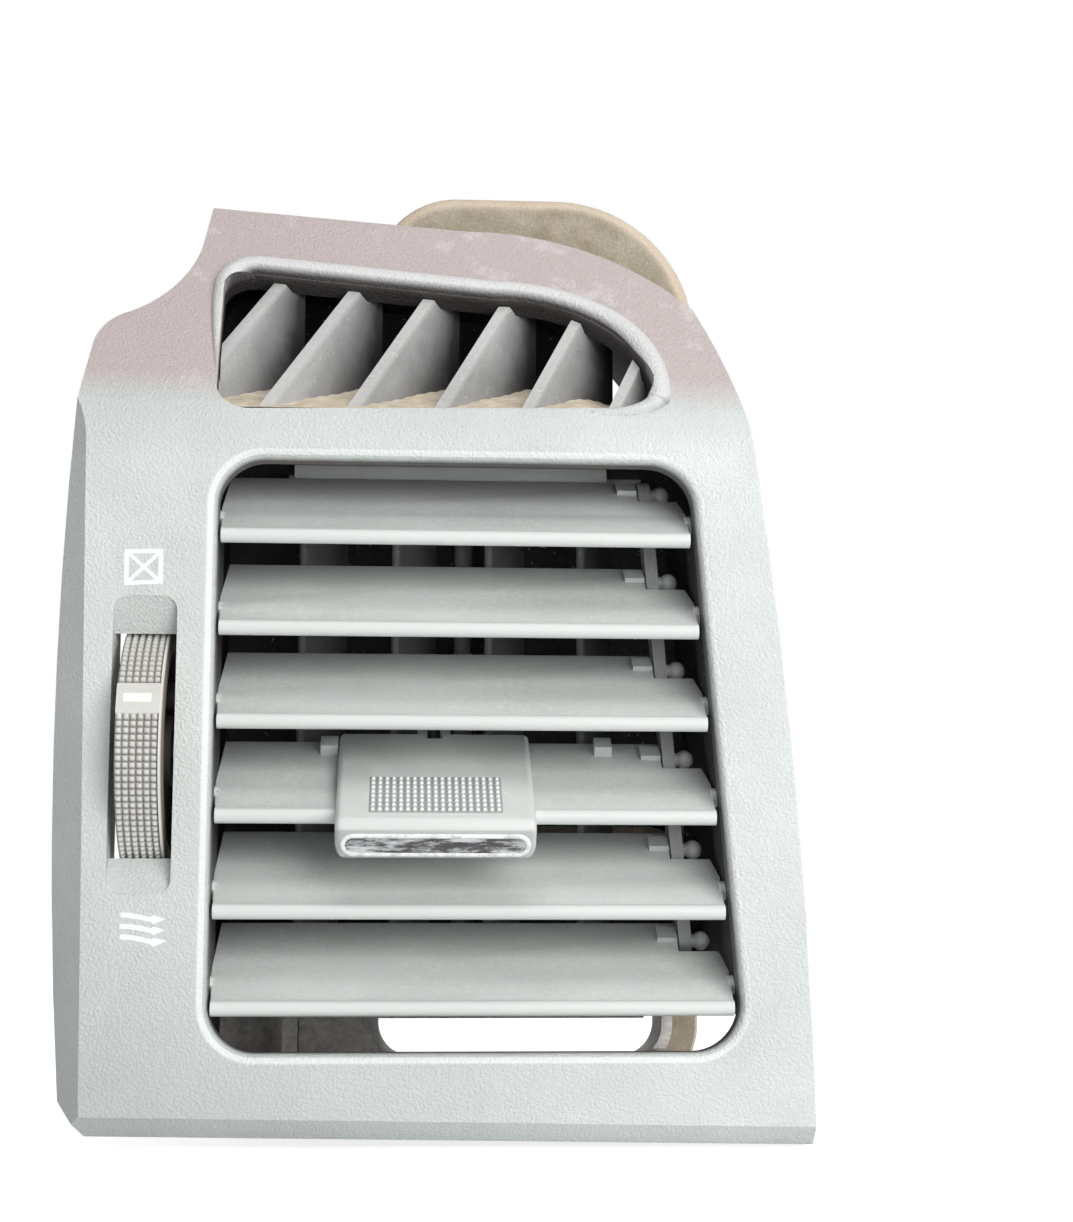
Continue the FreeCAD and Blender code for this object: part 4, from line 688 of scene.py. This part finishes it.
def make_wear_and_highlight():
    """Edge mask: where the rounded normal differs from the surface's own, broken up by noise. It marks pale worn
    edges, which also serve as painted edge highlights.
    """
    tree, begin, end = new_group("edge_wear", {"Radius": 0.0005}, ("Mask",))
    soft = add_node(tree, "ShaderNodeBevel", [("Radius", begin["Radius"])], samples=4).outputs[0]
    own = add_node(tree, "ShaderNodeNewGeometry").outputs["Normal"]
    edge = ramp(tree, vector_calc(tree, "DOT_PRODUCT", soft, own, "Value"), 0.97, 0.8)
    broken = ramp(tree, noise(tree, begin["Place"], 420.0, 4.0, 0.6), 0.38, 0.62)
    feed(tree, end["Mask"], times(tree, edge, broken, clamp=True))
    return tree


# Blades' rear above the bend, and how it comes forward with height
BLADES_REAR = 14.3
BLADES_REAR_SLOPE = 0.545
# The slanted opening's upper edge: where its line meets its arc, the line's fall, the arc's centre and radius
EDGE_JOIN = (3.3, 21.7)
EDGE_FALL = 0.1331
EDGE_ARC = (4.127, 3.211, 18.507)


def make_leaning_depth():
    """Depth behind the leaning face, its share of the way to the blades' rear, and two masks: the room
    behind the slanted opening, and the rim of its upper edge."""
    tree, begin, end = new_group("leaning_depth", {}, ("Depth", "Share", "Opening", "Rim"))
    part = split(tree, begin["Place"])
    x = part["X"]
    z = minus(tree, part["Z"], BEND_Z * MM)
    depth, along = turned_lengths(tree, minus(tree, part["Y"], PANEL_FRONT * MM), z, -LEAN)
    rear = minus(tree, BLADES_REAR * MM, times(tree, z, BLADES_REAR_SLOPE))
    fall = times(tree, minus(tree, x, EDGE_JOIN[0] * MM), EDGE_FALL)
    line = minus(tree, plus(tree, along, fall), EDGE_JOIN[1] * MM)
    squares = plus(tree, calc(tree, "POWER", minus(tree, x, EDGE_ARC[0] * MM), 2.0),
                   calc(tree, "POWER", minus(tree, along, EDGE_ARC[1] * MM), 2.0))
    arc = minus(tree, calc(tree, "SQRT", squares), EDGE_ARC[2] * MM)
    left = calc(tree, "LESS_THAN", x, EDGE_JOIN[0] * MM)
    away = plus(tree, times(tree, line, left), times(tree, arc, minus(tree, 1.0, left)))
    inside = times(tree, ramp_mm(tree, x, -31.6, -31.4), ramp_mm(tree, x, 24.6, 24.4),
                   ramp_mm(tree, along, 28.6, 28.4), ramp_mm(tree, along, 1.0, 1.4), ramp_mm(tree, away, 2.4, 2.0))
    rim = times(tree, band(tree, away, -0.6, 0.3, 0.1), ramp_mm(tree, along, 9.0, 10.0),
                band(tree, x, -26.6, 23.5, 0.6), band(tree, depth, -0.4, 0.8, 0.1))
    share = calc(tree, "DIVIDE", depth, calc(tree, "MAXIMUM", rear, 0.5 * MM))
    feed_all(tree, end, {"Depth": depth, "Share": share, "Opening": inside, "Rim": rim})
    return tree


# Materials

def group_node(tree, name, place, **values):
    """Results of a node group at a place."""
    item = add_node(tree, "ShaderNodeGroup", node_tree=GROUPS[name])
    feed_all(tree, item.inputs, {"Place": place, **values})
    return item.outputs


def start_material(name):
    """New material: returns it, its tree, its shader's inputs and its Object coordinates."""
    material = bpy.data.materials.new(name)
    material.use_nodes = True
    tree = material.node_tree
    place = add_node(tree, "ShaderNodeTexCoord").outputs["Object"]
    return material, tree, tree.nodes["Principled BSDF"].inputs, place


def rgb(r, g, b):
    """Display colour 0-255 to linear."""
    values = []
    for v in (r, g, b):
        v = v / 255.0
        values.append(v / 12.92 if v <= 0.04045 else ((v + 0.055) / 1.055) ** 2.4)
    return (values[0], values[1], values[2], 1.0)


def bump(tree, height, distance):
    """Normal bent by a height from 0 to 1 that stands for a distance in millimetres."""
    item = add_node(tree, "ShaderNodeBump", [("Height", height), ("Distance", distance * MM)])
    return item.outputs["Normal"]


def moulded_plastic(name, colour, shade, grain_size, grain_depth, dust, dust_colour, rough, gloss, wear=0.0,
                    wear_colour=None, zones=(), mask=None):
    """Moulded plastic: cloudy base colour, grain bump, dust on what faces up, and pale worn edges that also serve
    as painted edge highlights. Each zone is (axis, from, to, colour, amount); mask is a function that gives more
    (colour, amount) pairs."""
    material, tree, shader, place = start_material(name)
    cloud = ramp(tree, noise(tree, place, 45.0, 4.0, 0.6), 0.3, 0.7)
    grain = group_node(tree, "leather_grain", place, **{"Cell Size": grain_size})
    dusty = group_node(tree, "settled_dust", place, Amount=dust)
    tints = [(shade, cloud), (shade, times(tree, grain["Valley"], 0.3)), (dust_colour, dusty["Mask"]),
             (rgb(235, 235, 228), times(tree, dusty["Specks"], 0.8))]
    # Pale worn edges, which also serve as painted edge highlights
    if wear:
        tints.append((wear_colour, times(tree, group_node(tree, "edge_wear", place)["Mask"], wear)))
    for axis, low, high, tint, amount in zones:
        tints.append((tint, times(tree, ramp_mm(tree, split(tree, place)[axis], low, high), amount)))
    if mask:
        tints += mask(tree, place)
    base = colour
    for tint, amount in tints:
        base = blend(tree, base, tint, amount)
    roughness = plus(tree, ramp(tree, cloud, 0.0, 1.0, rough - 0.06, rough + 0.06),
                     times(tree, dusty["Mask"], 0.25), True)
    feed_all(tree, shader, {"Base Color": base, "Roughness": roughness, "Specular IOR Level": gloss,
                            "Normal": bump(tree, grain["Height"], grain_depth)})
    return material


def fascia_tints(tree, place):
    """Tints of the fascia, as (colour, amount) pairs: painted shade low at the left and above the louvres, a
    pinkish tint on the leaning part that is darker as painted shade, a pale bead with painted shade on its
    underside, painted shade on the edges inside the slanted opening and the outlet, and a painted highlight on the
    outlet lip."""
    lean = group_node(tree, "leaning_depth", place)
    part = split(tree, place)
    high = ramp_mm(tree, part["Z"], 42.5, 45.5)
    scuff = ramp(tree, noise(tree, place, 160.0, 6.0, 0.72), 0.56, 0.66)
    outlet = times(tree, band(tree, part["X"], -31.0, 33.4, 0.2), band(tree, part["Z"], -34.4, 38.2, 0.2))
    lip = times(tree, band(tree, part["Y"], -33.92, -33.6, 0.06), outlet)
    # Noisy front edge of the painted shade on the outlet's inner wall
    inner_wall_shade_edge = plus(tree, part["Y"], times(tree, noise(tree, place, 700.0), 0.5 * MM))
    lower_left_shade = times(tree, ramp_mm(tree, part["X"], 38.0, -40.0), ramp_mm(tree, part["Z"], 8.0, -34.0))
    behind = ramp_mm(tree, lean["Depth"], 0.15, 0.9)
    # Painted shade: the panel darker low at the left, where the lamp's light falls off
    return [(rgb(152, 158, 157), times(tree, lower_left_shade, 0.42)),
            # Painted shade: the panel darker from just above the louvres upwards
            (rgb(172, 178, 177), times(tree, ramp_mm(tree, part["Z"], 36.5, 41.0), 0.32)),
            # A pinkish tint on the leaning part, darker than the panel as painted shade
            (rgb(182, 168, 167), times(tree, ramp_mm(tree, part["Z"], 43.0, 47.5), 0.9)),
            (rgb(222, 219, 217), times(tree, scuff, high, 0.35)),
            (rgb(206, 207, 206), times(tree, ramp_mm(tree, lean["Depth"], -0.1, -0.5), high)),
            # Painted shade on faces that look down, such as the bead's underside
            (rgb(52, 50, 49), times(tree, ramp(tree, facing(tree, "Z"), 0.1, -0.5), high, 0.9)),
            # Painted shade: a thin dark line along the slanted opening's upper edge
            (rgb(60, 57, 56), times(tree, lean["Rim"], 0.9)),
            # Painted shade in the room behind the slanted opening
            (rgb(40, 38, 37), times(tree, behind, lean["Opening"], 0.92)),
            # Painted highlight on the outlet's rounded lip
            (rgb(238, 241, 239), times(tree, lip, 0.6)),
            # Painted shade on the outlet's inner wall
            (rgb(70, 62, 60), times(tree, ramp_mm(tree, inner_wall_shade_edge, -33.1, -31.9), outlet, 0.85))]


def blade_shade(tree, place):
    """Painted shade that darkens the blades towards their rear edge, and a painted highlight on their front edges.
    """
    lean = group_node(tree, "leaning_depth", place)
    blotch = times(tree, noise(tree, place, 260.0, 4.0, 0.6), 0.3)
    rear = ramp(tree, plus(tree, lean["Share"], blotch), 0.35, 1.0, 0.0, 0.92)
    # Painted shade towards the blades' rear edge
    return [(rgb(22, 21, 21), rear),
            # Painted highlight on the blades' front edges
            (rgb(206, 206, 205), times(tree, ramp_mm(tree, lean["Depth"], 1.4, 1.0), 0.35))]


def valley_grime(tree, place):
    """Darkens the valleys between the wheel's pads, by the distance from its axis, and its right side."""
    flat = vector_calc(tree, "MULTIPLY", place, (0.0, 1.0, 1.0))
    centre = (0.0, WHEEL_CENTRE[0] * MM, WHEEL_CENTRE[1] * MM)
    deep = ramp_mm(tree, vector_calc(tree, "DISTANCE", flat, centre, "Value"), WHEEL_R - 0.12, WHEEL_R - 0.38)
    side = ramp_mm(tree, split(tree, place)["X"], WHEEL_SIDES[1] - 0.12, WHEEL_SIDES[1] - 0.02)
    return [(rgb(104, 99, 92), times(tree, deep, 0.75)), (rgb(108, 96, 84), times(tree, side, 0.8))]


# Middle of the knob's grip along the louvre, from its pivot, and the grip's half length and half width
GRIP_ALONG = 1.9 - PIVOT_FROM_FRONT
GRIP_HALF = (7.6, 3.95)


def knob_painted_light(tree, place):
    """Painted light on the knob: painted highlights on the grip's tips, painted shade in its valleys, on the face
    under the nose and towards the rear, and a plain grey that tones down the nose's lit bevel, by the height above
    and the place along the louvre."""
    pivot = (0.0, KNOB_PIVOT[0] * MM, KNOB_PIVOT[1] * MM)
    part = split(tree, vector_calc(tree, "SUBTRACT", place, pivot))
    along, height = turned_lengths(tree, part["Y"], part["Z"], KNOB_TILT)
    across = band(tree, part["X"], KNOB_CENTRE - GRIP_HALF[0], KNOB_CENTRE + GRIP_HALF[0], 0.1)
    patch = band(tree, along, GRIP_ALONG - GRIP_HALF[1], GRIP_ALONG + GRIP_HALF[1], 0.1)
    nose = times(tree, ramp_mm(tree, along, -8.1, -8.5), ramp_mm(tree, height, 1.35, 1.6))
    face = times(tree, ramp_mm(tree, along, -9.4, -9.7), ramp_mm(tree, height, 1.5, 1.2))
    # Painted highlight on the grip's tips
    return [(rgb(250, 251, 249), times(tree, ramp_mm(tree, height, 2.42, 2.6), 0.9)),
            # Painted shade in the grip's valleys
            (rgb(118, 120, 118), times(tree, band(tree, height, 2.2, 2.38, 0.05), across, patch, 0.7)),
            # Painted shade: a plain grey that tones down the nose's lit bevel
            (rgb(206, 209, 206), times(tree, nose, 0.9)),
            # Painted shade on the face under the nose
            (rgb(158, 161, 159), times(tree, face, 0.65)),
            # Painted shade towards the rear, under the louvre above
            (rgb(150, 154, 151), times(tree, ramp_mm(tree, along, -2.0, 8.0), 0.1))]


def rear_wall_dust_and_light(tree, place):
    """Pale dust on the lowest part of the housing's rear wall and on its floor, on the faces that look to the
    front or up, which are seen under the louvres; painted near white as painted light where the lamps barely
    reach."""
    part = split(tree, place)
    forward = ramp(tree, facing(tree, "Y"), -0.3, -0.7)
    inward = calc(tree, "MAXIMUM", forward, ramp(tree, facing(tree, "Z"), 0.3, 0.7))
    patches = ramp(tree, noise(tree, place, 420.0, 6.0, 0.75), 0.34, 0.66, 0.5, 1.0)
    # Pale dust, painted near white as painted light where the lamps barely reach
    return [(rgb(236, 231, 226), times(tree, ramp_mm(tree, part["Y"], -14.0, -12.0),
                                       ramp_mm(tree, part["Z"], -25.0, -28.0), inward, patches))]


DUST = (206, 203, 196)
# Finish: name, colour, shade, grain's size and depth, dust and its colour, roughness, gloss, other settings
PLASTICS = {
    # Louvre zones: painted shade towards the rear edge, and a plain grey on the lips painted to tone down their
    # lit front
    "louvre": ("louvre_plastic", (222, 227, 224), (200, 205, 202), 0.35, 0.015, 0.75, (232, 231, 226), 0.42, 0.45,
               {"zones": (("Y", -25.0, -17.5, rgb(96, 98, 97), 0.5),
                          ("Y", -31.5, -32.4, rgb(208, 212, 209), 0.9))}),
    "link": ("link_plastic", (214, 218, 215), (190, 194, 191), 0.3, 0.008, 0.3, DUST, 0.4, 0.45, {}),
    # Bar finish: the link's plastic painted darker as painted shade, for the bars that lie in shadow
    "bar": ("bar_plastic_shaded", (150, 152, 151), (118, 120, 119), 0.3, 0.008, 0.3, DUST, 0.4, 0.45, {}),
    "housing": ("duct_plastic", (62, 61, 59), (44, 43, 42), 0.6, 0.03, 0.95, (178, 174, 168), 0.6, 0.3,
                {"mask": rear_wall_dust_and_light}),
    "vane": ("vane_plastic", (130, 132, 130), (104, 106, 104), 0.4, 0.015, 0.4, DUST, 0.5, 0.35, {}),
    "grille": ("grille_plastic", (186, 186, 185), (142, 142, 142), 0.4, 0.02, 0.7, (220, 214, 204), 0.5, 0.35,
               {"mask": blade_shade}),
    # Knob: pale worn edges that also serve as painted edge highlights, and painted light and shade on the grip,
    # nose and face
    "knob": ("knob_plastic", (216, 220, 217), (202, 206, 203), 0.3, 0.01, 0.45, (222, 222, 217), 0.4, 0.5,
             {"wear": 0.6, "wear_colour": rgb(240, 242, 240), "mask": knob_painted_light}),
    # Wheel: its pale worn edges also serve as painted edge highlights
    "wheel": ("wheel_plastic", (218, 218, 214), (192, 190, 185), 0.3, 0.01, 0.3, (205, 192, 172), 0.5, 0.4,
              {"wear": 0.4, "wear_colour": rgb(236, 236, 232), "mask": valley_grime}),
    "pad": ("pad_rubber", (40, 40, 40), (30, 30, 30), 0.3, 0.01, 0.2, DUST, 0.7, 0.35, {}),
    "mark": ("mark_plastic", (253, 254, 238), (246, 246, 226), 0.4, 0.005, 0.05, DUST, 0.4, 0.5, {}),
    "demister": ("demister_plastic", (60, 57, 54), (44, 42, 40), 0.6, 0.03, 0.9, (196, 180, 152), 0.65, 0.25, {}),
}


# Finish: name, the noise's scale, detail and roughness, its low and high, two colours, other values
TWO_TONES = {
    "steel": (("zinc_steel", 300.0, 4.0, 0.55, 0.3, 0.7, (150, 150, 148), (185, 184, 178)),
              {"Roughness": (0.3, 0.45), "Metallic": 1.0}),
    "print": (("white_ink", 700.0, 4.0, 0.7, 0.3, 0.75, (247, 249, 248), (226, 230, 228)), {"Roughness": 0.6}),
    "inlay": (("inlay_finish", 900.0, 6.0, 0.75, 0.44, 0.6, (62, 62, 64), (186, 188, 190)),
              {"Roughness": (0.22, 0.42), "Metallic": (0.2, 0.9), "stretch": (0.3, 1.0, 1.4)}),
    "bright_rim": (("bright_bead", 900.0, 5.0, 0.7, 0.45, 0.65, (236, 238, 236), (190, 193, 192)),
                   {"Roughness": 0.3}),
}


def make_lint():
    """Tan dust with pale fibres: stretched noise over a cloudy ground."""
    material, tree, shader, place = start_material("lint_bed")
    cloud = ramp(tree, noise(tree, place, 420.0, 5.0, 0.65), 0.3, 0.7)
    base = blend(tree, rgb(232, 219, 198), rgb(190, 176, 156), cloud)
    along = add_node(tree, "ShaderNodeMapping", [("Vector", place), ("Rotation", (0.0, 0.0, math.radians(-48.0))),
                                                 ("Scale", (260.0, 2600.0, 900.0))])
    threads = ramp(tree, noise(tree, along.outputs[0], 1.0, 3.0, 0.6), 0.56, 0.68)
    feed_all(tree, shader, {"Base Color": blend(tree, base, rgb(250, 245, 234), times(tree, threads, 0.8)),
                            "Roughness": 0.95, "Specular IOR Level": 0.1,
                            "Normal": bump(tree, plus(tree, cloud, threads), 0.12)})
    return material


def make_foam():
    """Fuzzy foam: olive brown on the flat front as painted shade, light tan on the rounded rim as a painted
    highlight, fine fibres over both.
    """
    material, tree, shader, place = start_material("seal_foam")
    # Painted light: the flat front shaded olive brown, the rounded rim lit light tan
    flat = ramp(tree, facing(tree, "Y"), -0.88, -0.998)
    cloud = ramp(tree, noise(tree, place, 260.0, 5.0, 0.65), 0.3, 0.7)
    rim = blend(tree, rgb(250, 232, 208), rgb(236, 216, 190), cloud)
    inner = blend(tree, rgb(208, 196, 178), rgb(168, 156, 134), cloud)
    fibre = ramp(tree, noise(tree, place, 2600.0, 4.0, 0.75), 0.35, 0.65)
    gaps = times(tree, minus(tree, 1.0, fibre), 0.22)
    fluff = plus(tree, fibre, noise(tree, place, 900.0, 4.0, 0.7))
    feed_all(tree, shader, {"Base Color": blend(tree, blend(tree, rim, inner, flat), rgb(112, 102, 86), gaps),
                            "Roughness": 0.97, "Specular IOR Level": 0.1, "Sheen Weight": 0.25,
                            "Normal": bump(tree, fluff, 0.14)})
    return material


def two_tone(name, scale, detail, rough, low, high, first, second, **values):
    """Finish of two colours in patches. Other values are the shader's: plain, or a pair that the patches
    mix too. The place may be stretched first."""
    material, tree, shader, place = start_material(name)
    place = vector_calc(tree, "MULTIPLY", place, values.pop("stretch", (1.0, 1.0, 1.0)))
    patches = ramp(tree, noise(tree, place, scale, detail, rough), low, high)
    feed(tree, shader["Base Color"], blend(tree, rgb(*first), rgb(*second), patches))
    for key, value in values.items():
        feed(tree, shader[key], ramp(tree, patches, 0.0, 1.0, *value) if isinstance(value, tuple) else value)
    return material


def make_materials(settings):
    """Fills the shared node groups and the finishes."""
    GROUPS.update(leather_grain=make_leather_grain(), settled_dust=make_dust(), edge_wear=make_wear_and_highlight(),
                  leaning_depth=make_leaning_depth())
    # Fascia: its pale worn edges also serve as painted edge highlights
    MATERIALS["fascia"] = moulded_plastic(
        "fascia_plastic", (*settings.panel_colour, 1.0), (*settings.panel_shade, 1.0), 0.36, 0.09, 0.3,
        rgb(226, 226, 221), 0.5, 0.4, 0.35, rgb(238, 241, 238), mask=fascia_tints)
    for key, (name, colour, shade, size, depth, dust, dust_colour, rough, gloss, more) in PLASTICS.items():
        MATERIALS[key] = moulded_plastic(name, rgb(*colour), rgb(*shade), size, depth, dust, rgb(*dust_colour),
                                         rough, gloss, **more)
    for key, (values, more) in TWO_TONES.items():
        MATERIALS[key] = two_tone(*values, **more)
    MATERIALS.update(foam=make_foam(), lint=make_lint())


# Stage

def background_rays(tree):
    """1 for the rays that show the background: to the camera, in a reflection or through glass."""
    path = add_node(tree, "ShaderNodeLightPath").outputs
    seen = calc(tree, "MAXIMUM", path["Is Camera Ray"], path["Is Glossy Ray"])
    return calc(tree, "MAXIMUM", seen, path["Is Transmission Ray"])


def add_lamp(name, size, power, place, target):
    """Square area lamp at a place, pointing at a target."""
    data = bpy.data.lights.new(name, "AREA")
    data.size = size
    data.energy = power
    lamp = bpy.data.objects.new(name, data)
    bpy.context.scene.collection.objects.link(lamp)
    way = Vector(target) - Vector(place)
    lamp.matrix_world = Matrix.Translation(place) @ way.to_track_quat("-Z", "Y").to_matrix().to_4x4()


def set_stage(context):
    """White floor and world, two lamps and the photograph's camera."""
    scene = context.scene
    stage = scene.vent_stage
    scene.view_settings.view_transform = "Standard"
    low = CAD_BOX[0][2] - FLOOR_GAP
    data = bpy.data.meshes.new("floor")
    corners = [(x * FLOOR_REACH, y * FLOOR_REACH, low) for x, y in ((-1, -1), (1, -1), (1, 1), (-1, 1))]
    data.from_pydata(corners, [], [(0, 1, 2, 3)])
    floor = bpy.data.objects.new("floor", data)
    scene.collection.objects.link(floor)
    material, tree, shader = start_material("floor_white")[:3]
    feed_all(tree, shader, {"Base Color": (0.9, 0.9, 0.9, 1.0), "Roughness": 0.9, "Emission Color": WHITE,
                            "Emission Strength": times(tree, background_rays(tree), stage.floor_level)})
    data.materials.append(material)

    world = bpy.data.worlds.new("studio")
    scene.world = world
    world.use_nodes = True
    tree = world.node_tree
    level = plus(tree, times(tree, background_rays(tree), 1.0 - stage.sky_level), stage.sky_level)
    feed_all(tree, tree.nodes["Background"].inputs, {"Color": WHITE, "Strength": level})

    add_lamp("key_lamp", 0.3, stage.key_power, (0.2, -0.41, 0.09), (0.0, -0.03, 0.0))
    add_lamp("top_lamp", 0.4, stage.top_power, (0.04, -0.26, 0.55), (0.0, -0.02, 0.0))

    data = bpy.data.cameras.new("camera")
    data.lens = CAMERA_LENS
    data.sensor_width = SENSOR
    data.clip_start = 0.01
    camera = bpy.data.objects.new("camera", data)
    scene.collection.objects.link(camera)
    turn = (Matrix.Rotation(CAMERA_TURN, 4, "Z") @ Matrix.Rotation(CAMERA_LOOK_UP, 4, "X")
            @ Matrix.Rotation(CAMERA_ROLL, 4, "Y"))
    camera.matrix_world = Matrix.Translation(CAMERA_PLACE) @ turn @ Matrix.Rotation(math.radians(90), 4, "X")
    scene.camera = camera


# Settings

class VentColours(bpy.types.PropertyGroup):
    panel_colour: bpy.props.FloatVectorProperty(
        name="Panel", description="Main colour of the fascia", subtype="COLOR", size=3, min=0.0, max=1.0,
        default=rgb(213, 218, 215)[:3])
    panel_shade: bpy.props.FloatVectorProperty(
        name="Panel shade", description="Darker clouds and grain valleys of the fascia", subtype="COLOR",
        size=3, min=0.0, max=1.0, default=rgb(195, 200, 197)[:3])


class VentStage(bpy.types.PropertyGroup):
    key_power: bpy.props.FloatProperty(
        name="Key lamp", description="Power of the large lamp", subtype="POWER", default=1.65, min=0.0)
    top_power: bpy.props.FloatProperty(
        name="Top lamp", description="Power of the lamp above", subtype="POWER", default=1.05, min=0.0)
    sky_level: bpy.props.FloatProperty(
        name="Sky level", description="Strength of the even light from all sides", default=0.28, min=0.0)
    floor_level: bpy.props.FloatProperty(
        name="Floor level", description="How much the floor brightens itself to the camera", default=0.8,
        min=0.0)


# Operators

class VENT_OT_materials(bpy.types.Operator):
    """Makes the shared node groups and the finishes"""
    bl_idname = "vent.materials"
    bl_label = "Make Finishes"

    def execute(self, context):
        make_materials(context.scene.vent_colours)
        return {"FINISHED"}


class VENT_OT_fascia(bpy.types.Operator):
    """Fascia with its rounded edges, its printed signs and the ends of its bead"""
    bl_idname = "vent.fascia"
    bl_label = "Dress Fascia"

    def execute(self, context):
        softened("fascia_panel", "fascia", 0.45, 3, "fascia_skin")
        mesh_piece("printed_signs", symbol_mesh(), "housing", "print")
        mesh_piece("bead_ends", bead_tail_mesh(), "housing", "fascia", 60)
        return {"FINISHED"}


class VENT_OT_ducts(bpy.types.Operator):
    """Housings, slanted grille, dust on its floor, bearings and screws"""
    bl_idname = "vent.ducts"
    bl_label = "Dress Ducts"

    def execute(self, context):
        for node in ("duct_housing", "inlet_collar", "shaft_bracket"):
            softened(node, "housing", 0.3)
        softened("demister_duct", "housing", 0.3, finish="demister")
        softened("demister_grille", "grille", 0.15)
        mesh_piece("demister_sill", sill_mesh(), "housing", "lint", 40)
        for node in ("pivot_strip_left", "pivot_strip_right", "vane_bearing_bottom"):
            softened(node, "housing", 0.15)
        softened("vane_bearing_top", "link", 0.15)
        for node in ("wheel_axle", "housing_screws"):
            softened(node, "steel", 0.12)
        return {"FINISHED"}


class VENT_OT_louvres(bpy.types.Operator):
    """Louvres, their bar, the vanes and their bar"""
    bl_idname = "vent.louvres"
    bl_label = "Dress Louvres and Vanes"

    def execute(self, context):
        for index, node in enumerate(LOUVRES):
            widen_louvre(softened(node, "louvre", 0.12), index)
        for node in VANES + ["vane_driver"]:
            softened(node, "vane", 0.12)
        for node in ("louvre_link", "vane_link"):
            # The bars take the link's plastic painted darker as painted shade
            softened(node, "link", 0.15, finish="bar")
        return {"FINISHED"}


class VENT_OT_knob(bpy.types.Operator):
    """Slide knob with its grip, plate, bright trim and pad"""
    bl_idname = "vent.knob"
    bl_label = "Dress Knob"

    def execute(self, context):
        round_knob(softened("knob_shell", "knob", 0.1))
        round_knob(softened("knob_base", "knob", 0.1))
        softened("knob_inlay", "inlay", 0.1)
        mesh_piece("inlay_frame", inlay_frame_mesh(), "knob", "bright_rim", 60)
        softened("knob_pad", "pad", 0.1)
        return {"FINISHED"}


class VENT_OT_wheel(bpy.types.Operator):
    """Thumbwheel, flap and the rod between them"""
    bl_idname = "vent.wheel"
    bl_label = "Dress Thumbwheel"

    def execute(self, context):
        wheel = mesh_piece("knurled_wheel", wheel_mesh(), "wheel", "wheel", 30)
        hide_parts("thumbwheel")
        softened("wheel_mark", "mark", 0.08)
        softened("damper_flap", "housing", 0.2)
        softened("damper_lever", "link", 0.15)
        softened("damper_link", "link", 0.15)
        return {"FINISHED"}


class VENT_OT_foam(bpy.types.Operator):
    """Foam rings and the flap's soft edge"""
    bl_idname = "vent.foam"
    bl_label = "Dress Foam"

    def execute(self, context):
        for node in ("demister_seal", "inlet_seal", "damper_seal"):
            softened(node, "foam", 0.4)
        return {"FINISHED"}


class VENT_OT_stage(bpy.types.Operator):
    """Floor, light and the photograph's camera"""
    bl_idname = "vent.stage"
    bl_label = "Set Stage"

    def execute(self, context):
        set_stage(context)
        return {"FINISHED"}


class VENT_PT_panel(bpy.types.Panel):
    """Colours of the vent, the stage's lamps and levels, and a button for each group of pieces"""
    bl_idname = "VENT_PT_panel"
    bl_label = "Air Vent"
    bl_space_type = "VIEW_3D"
    bl_region_type = "UI"
    bl_category = "Air Vent"

    def draw(self, context):
        for group in (context.scene.vent_colours, context.scene.vent_stage):
            for name in group.__annotations__:
                self.layout.prop(group, name)
        for operator in OPERATORS:
            self.layout.operator(operator.bl_idname)


SETTINGS = (VentColours, VentStage)
OPERATORS = (VENT_OT_materials, VENT_OT_fascia, VENT_OT_ducts, VENT_OT_louvres, VENT_OT_knob, VENT_OT_wheel,
             VENT_OT_foam, VENT_OT_stage)


def register():
    for item in SETTINGS + OPERATORS + (VENT_PT_panel,):
        bpy.utils.register_class(item)
    bpy.types.Scene.vent_colours = bpy.props.PointerProperty(type=VentColours)
    bpy.types.Scene.vent_stage = bpy.props.PointerProperty(type=VentStage)


def unregister():
    del bpy.types.Scene.vent_colours
    del bpy.types.Scene.vent_stage
    for item in (VENT_PT_panel,) + OPERATORS + SETTINGS:
        bpy.utils.unregister_class(item)


def main():
    """Builds everything."""
    register()
    bpy.ops.vent.materials()
    bpy.ops.vent.fascia()
    bpy.ops.vent.ducts()
    bpy.ops.vent.louvres()
    bpy.ops.vent.knob()
    bpy.ops.vent.wheel()
    bpy.ops.vent.foam()
    bpy.ops.vent.stage()


if __name__ == "__main__":
    main()
